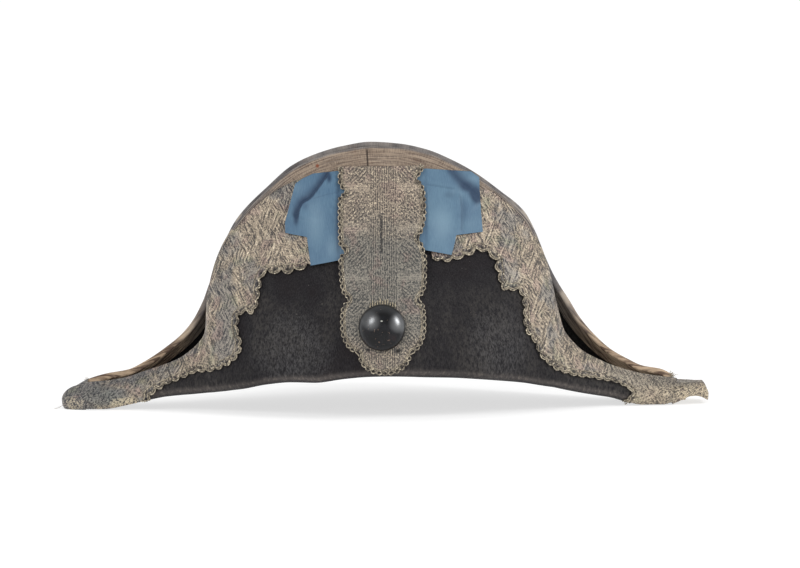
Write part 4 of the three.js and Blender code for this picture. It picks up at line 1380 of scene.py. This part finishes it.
# soft places of painted shade, the strap's painted shadow among them, and of painted light: x, z, half width,
# half height, amount
leftShades = [(-56.8, 127.5, 2.0, 4.5, 0.8), (-35.2, 154.0, 1.7, 3.4, 1.0), (-51.0, 136.0, 3.0, 3.0, 0.35),
              (-29.2, 128.0, 1.6, 24.0, 0.85), (-29.0, 148.0, 2.0, 6.0, 0.5)]
rightShades = [(61.0, 140.5, 3.6, 5.0, 0.85), (54.0, 147.0, 4.5, 2.6, 0.40), (43.5, 142.0, 4.8, 2.8, 0.38),
               (28.0, 132.0, 1.4, 24.0, 0.5), (54.0, 132.0, 2.2, 9.0, 0.25)]
leftGlows = [(-44, 125, 7, 16, 0.6), (-33, 110, 6, 8, 0.6), (-56, 147, 5, 4, 0.4)]
rightGlows = [(38, 124, 8, 12, 0.8), (60, 152, 5, 3, 0.6), (58, 124, 5, 6, 0.3)]


def foldRelief(places, folds):
    lift, dark = np.zeros(len(places)), np.zeros(len(places))
    for fold in folds:
        line = resample(roundedLine(np.array(fold["line"], float), 2), 0.5)
        away, along = nearestOn(places, line)
        total = lineLength(line)[-1]
        fade = np.clip(np.minimum(along, total - along) / 3 + 0.15, 0, 1)
        near = np.clip((along / total) * (len(line) - 1), 0, len(line) - 2).astype(int)
        step = line[near + 1] - line[near]
        offset = places - line[near]
        high = np.sign(step[:, 0] * offset[:, 1] - step[:, 1] * offset[:, 0]) * fold["side"] > 0
        brink = np.exp(-(away / ribbon["brink"]) ** 2)
        shade = np.exp(-(away / fold["shade"]) ** 2)
        above = fold["step"] * np.exp(-(away / fold["spread"]) ** 2)
        below = fold["step"] * brink - fold["dip"] * (1 - brink) * shade
        lift += np.where(high, above, below) * fade
        shadow = np.where(high, np.exp(-(away / fold["sharp"]) ** 2), shade)
        dark = np.maximum(dark, fold["dark"] * shadow * fade)
    return lift, dark


def softSpots(places, spots):
    total = np.zeros(len(places))
    for x, z, wide, high, amount in spots:
        away = ((places[:, 0] - x) / wide) ** 2 + ((places[:, 1] - z) / high) ** 2
        total = np.maximum(total, amount * np.exp(-away))
    return total


def makeRibbon(name, node, rows, folds, shades, glows):
    outline = toMillimetres(rows)
    places, triangles = fillOutline(outline, ribbon["spacing"])
    # painted shade along the folds and in soft spots, and painted light in others
    lift, dark = foldRelief(places, folds)
    dark = np.clip(dark + softSpots(places, shades), 0, 1)
    glow = softSpots(places, glows)
    # the silk lies flat under the strap and ripples a little where it is free
    x, z = places[:, 0], places[:, 1]
    free = np.clip((np.abs(x) - ribbon["freeFrom"]) / 4, 0, 1)
    ripple = 0.12 * np.sin(x / 3.3 + np.sin(z / 17)) + 0.15 * np.sin(z / 9 + x / 15)
    far = ribbon["over"] + 0.5 + (lift + ripple) * free
    points, faces = layerOnFront(places, triangles, far - ribbon["wall"], far)
    piece = makePiece(name, points, faces, silkFinish,
                      attributes={"creaseShade": np.tile(dark, 2), "glow": np.tile(glow, 2)}, sharpAt=60)
    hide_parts(node)
    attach(piece, "root")


makeRibbon("silk_ribbon_left", "ribbon_left", leftRibbonRows, leftFolds, leftShades, leftGlows)
makeRibbon("silk_ribbon_right", "ribbon_right", rightRibbonRows, rightFolds, rightShades, rightGlows)
print("ribbons made")

# Button


buttonSizes = {"radius": 15.1, "rise": 8.6, "rim": 1.4, "x": -1.0, "z": 59.4, "seat": 3.05,
               "sides": 72, "rings": 26}


def makeButton(sizes):
    place, normal = onFront(np.array([sizes["x"]]), np.array([sizes["z"]]))
    seat, out = place[0], normal[0]
    radius, rim, rise = sizes["radius"], sizes["rim"], sizes["rise"]
    profile = [(0, 0.0), (radius - 2.2, 0.0), (radius - 1.3, 0.05), (radius - 0.35, 0.5), (radius, 1.15)]
    for ring in range(1, sizes["rings"]):
        angle = ring / sizes["rings"] * math.pi / 2
        profile.append((radius * math.cos(angle) ** 0.94, rim + rise * math.sin(angle) ** 1.05))
    profile.append((0, rim + rise))
    across = unit(np.cross(out, np.array([0, 0, 1.0])))
    up = np.cross(across, out)
    up = up * np.sign(up[2])
    turn = np.arange(sizes["sides"]) / sizes["sides"] * 2 * math.pi
    circle = across[None] * np.cos(turn)[:, None] + up[None] * np.sin(turn)[:, None]
    base = seat + out * sizes["seat"]
    points = [base]
    for reach, high in profile[1:-1]:
        points += list(base + circle * reach + out * high)
    points.append(base + out * profile[-1][1])
    n = sizes["sides"]
    rings = len(profile) - 2
    faces = [(0, 1 + (j + 1) % n, 1 + j) for j in range(n)]
    faces += gridFaces(rings, n, 1, around=True)
    last = 1 + (rings - 1) * n
    faces += [(last + j, last + (j + 1) % n, len(points) - 1) for j in range(n)]
    piece = makePiece("domed_button", np.array(points), faces, buttonFinish, sharpAt=70)
    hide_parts("button")
    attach(piece, "root")


makeButton(buttonSizes)

# Short bright stitches that hold the strap above the button
stitchSizes = {"first": -8.6, "pitch": 1.6, "count": 11, "length": 3.2, "radius": 0.30, "around": 15.0,
               "away": 2.9, "arch": 0.65, "seed": 6}


def makeStitches(sizes):
    lines = []
    share = np.linspace(0, 1, 7)
    for k in range(sizes["count"]):
        x = sizes["first"] + sizes["pitch"] * k
        foot = buttonSizes["z"] + math.sqrt(sizes["around"] ** 2 - (x - buttonSizes["x"]) ** 2)
        z = foot + share * sizes["length"] * (1 + 0.28 * math.sin(k * 2.1))
        rise = sizes["away"] + sizes["arch"] * np.sin(math.pi * share)
        lines.append(onFront(np.full(len(share), x), z, rise + strapLift(z))[0])
    makeCords("button_stitches", lines, sizes["radius"], sizes["seed"], stitchFinish)


makeStitches(stitchSizes)
print("button made")

# Loose threads at the horn tips and at the frayed ends of the back binding
threads = {
    "radius": 0.14,
    "seed": 11,
    # frayed ends: share of the half length, which way the threads hang and how many there are
    "frayed": [(0.888, 1, 22), (-0.925, -1, 9)],
}


def curlyLine(start, steps, count=14):
    points = [np.array(start, float)]
    for step in steps:
        points.append(points[-1] + np.array(step, float))
    return resample(roundedLine(np.array(points), 3), lineLength(np.array(points))[-1] / count)


def makeThreads(sizes):
    rng = np.random.default_rng(sizes["seed"])
    lines = [
        curlyLine((-213, -4, 3.2), [(-2.5, -2, -1.4), (-3, -3, -1.4), (-2, -3.5, -0.1)]),
        curlyLine((-212, -6, 3.0), [(-0.5, -3, -1.6), (1.5, -4, -1.0), (3.5, -3.6, 0.0)]),
    ]
    for at, sideways, count in sizes["frayed"]:
        end = leafPlace(1, np.array([at * felt["halfLength"]]), np.array([0.0]))[0][0]
        for _ in range(count):
            first = end + rng.normal(0, 1, 3) * [0.8, 1.6, 0.8] + [0, 0, 0.5]
            lean = np.array([sideways * rng.uniform(0.4, 2.2), rng.normal(0, 1.0), rng.uniform(0.5, 1.8)])
            droop = np.array([sideways * rng.uniform(0.5, 2.0), rng.normal(0, 0.8), rng.uniform(-1.6, 0.9)])
            lines.append(curlyLine(first, [lean, droop, droop * 0.5], 8))
    points, faces = threadTubes(lines, sizes["radius"], 5)
    points[:, 2] = np.maximum(points[:, 2], 0.05)
    piece = makePiece("loose_threads", points, faces, threadFinish, sharpAt=80)
    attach(piece, "root")


makeThreads(threads)
print("threads made")

# Stage and light


stageSizes = {"flat": 3.4, "sweep": 1.5, "high": 2.4, "sides": 96}


# A round floor whose rim sweeps up into a low wall
def makeFloor(sizes):
    flat, sweep = sizes["flat"], sizes["sweep"]
    line = [(0.6, 0.0), (1.6, 0.0), (flat, 0.0)]
    for k in range(1, 13):
        angle = k / 12 * math.pi / 2
        line.append((flat + sweep * math.sin(angle), sweep * (1 - math.cos(angle))))
    line.append((flat + sweep, sizes["high"]))
    turn = np.arange(sizes["sides"]) / sizes["sides"] * 2 * math.pi
    points = [(0.0, 0.0, 0.0)]
    points += [(radius * math.cos(t), radius * math.sin(t), z) for radius, z in line for t in turn]
    count = sizes["sides"]
    faces = [(0, 1 + j, 1 + (j + 1) % count) for j in range(count)]
    for k in range(len(line) - 1):
        low, high = 1 + k * count, 1 + (k + 1) * count
        faces += [(low + j, high + j, high + (j + 1) % count, low + (j + 1) % count) for j in range(count)]
    mesh = bpy.data.meshes.new("floor")
    mesh.from_pydata(points, [], faces)
    mesh.shade_smooth()
    s = Shader("floorFinish", Roughness=0.9, Specular_IOR_Level=0.0, Emission_Strength=0.66)
    s.surface.inputs["Base Color"].default_value = (0.46, 0.46, 0.46, 1)
    s.surface.inputs["Emission Color"].default_value = (1, 1, 1, 1)
    mesh.materials.append(s.material)
    floor = bpy.data.objects.new("floor", mesh)
    scene.collection.objects.link(floor)


makeFloor(stageSizes)

lamps = {
    "leftBox": {"place": (-1.20, -1.40, 1.35), "size": (0.42, 0.50), "power": 10},
    "rightBox": {"place": (1.62, -0.90, 1.20), "size": (0.50, 0.60), "power": 16},
}


def makeLamp(name, lamp):
    data = bpy.data.lights.new(name, "AREA")
    data.shape = "RECTANGLE"
    data.size, data.size_y = lamp["size"]
    data.energy = lamp["power"]
    box = bpy.data.objects.new(name, data)
    scene.collection.objects.link(box)
    box.location = lamp["place"]
    box.rotation_mode = "QUATERNION"
    box.rotation_quaternion = (Vector((0, 0, 0.08)) - Vector(lamp["place"])).to_track_quat("-Z", "Y")


for name, lamp in lamps.items():
    makeLamp(name, lamp)

world = bpy.data.worlds.new("studio")
scene.world = world
world.use_nodes = True
world.node_tree.nodes["Background"].inputs[0].default_value = (1, 1, 1, 1)
world.node_tree.nodes["Background"].inputs[1].default_value = 0.64
scene.view_settings.view_transform = "Standard"
print("stage made")
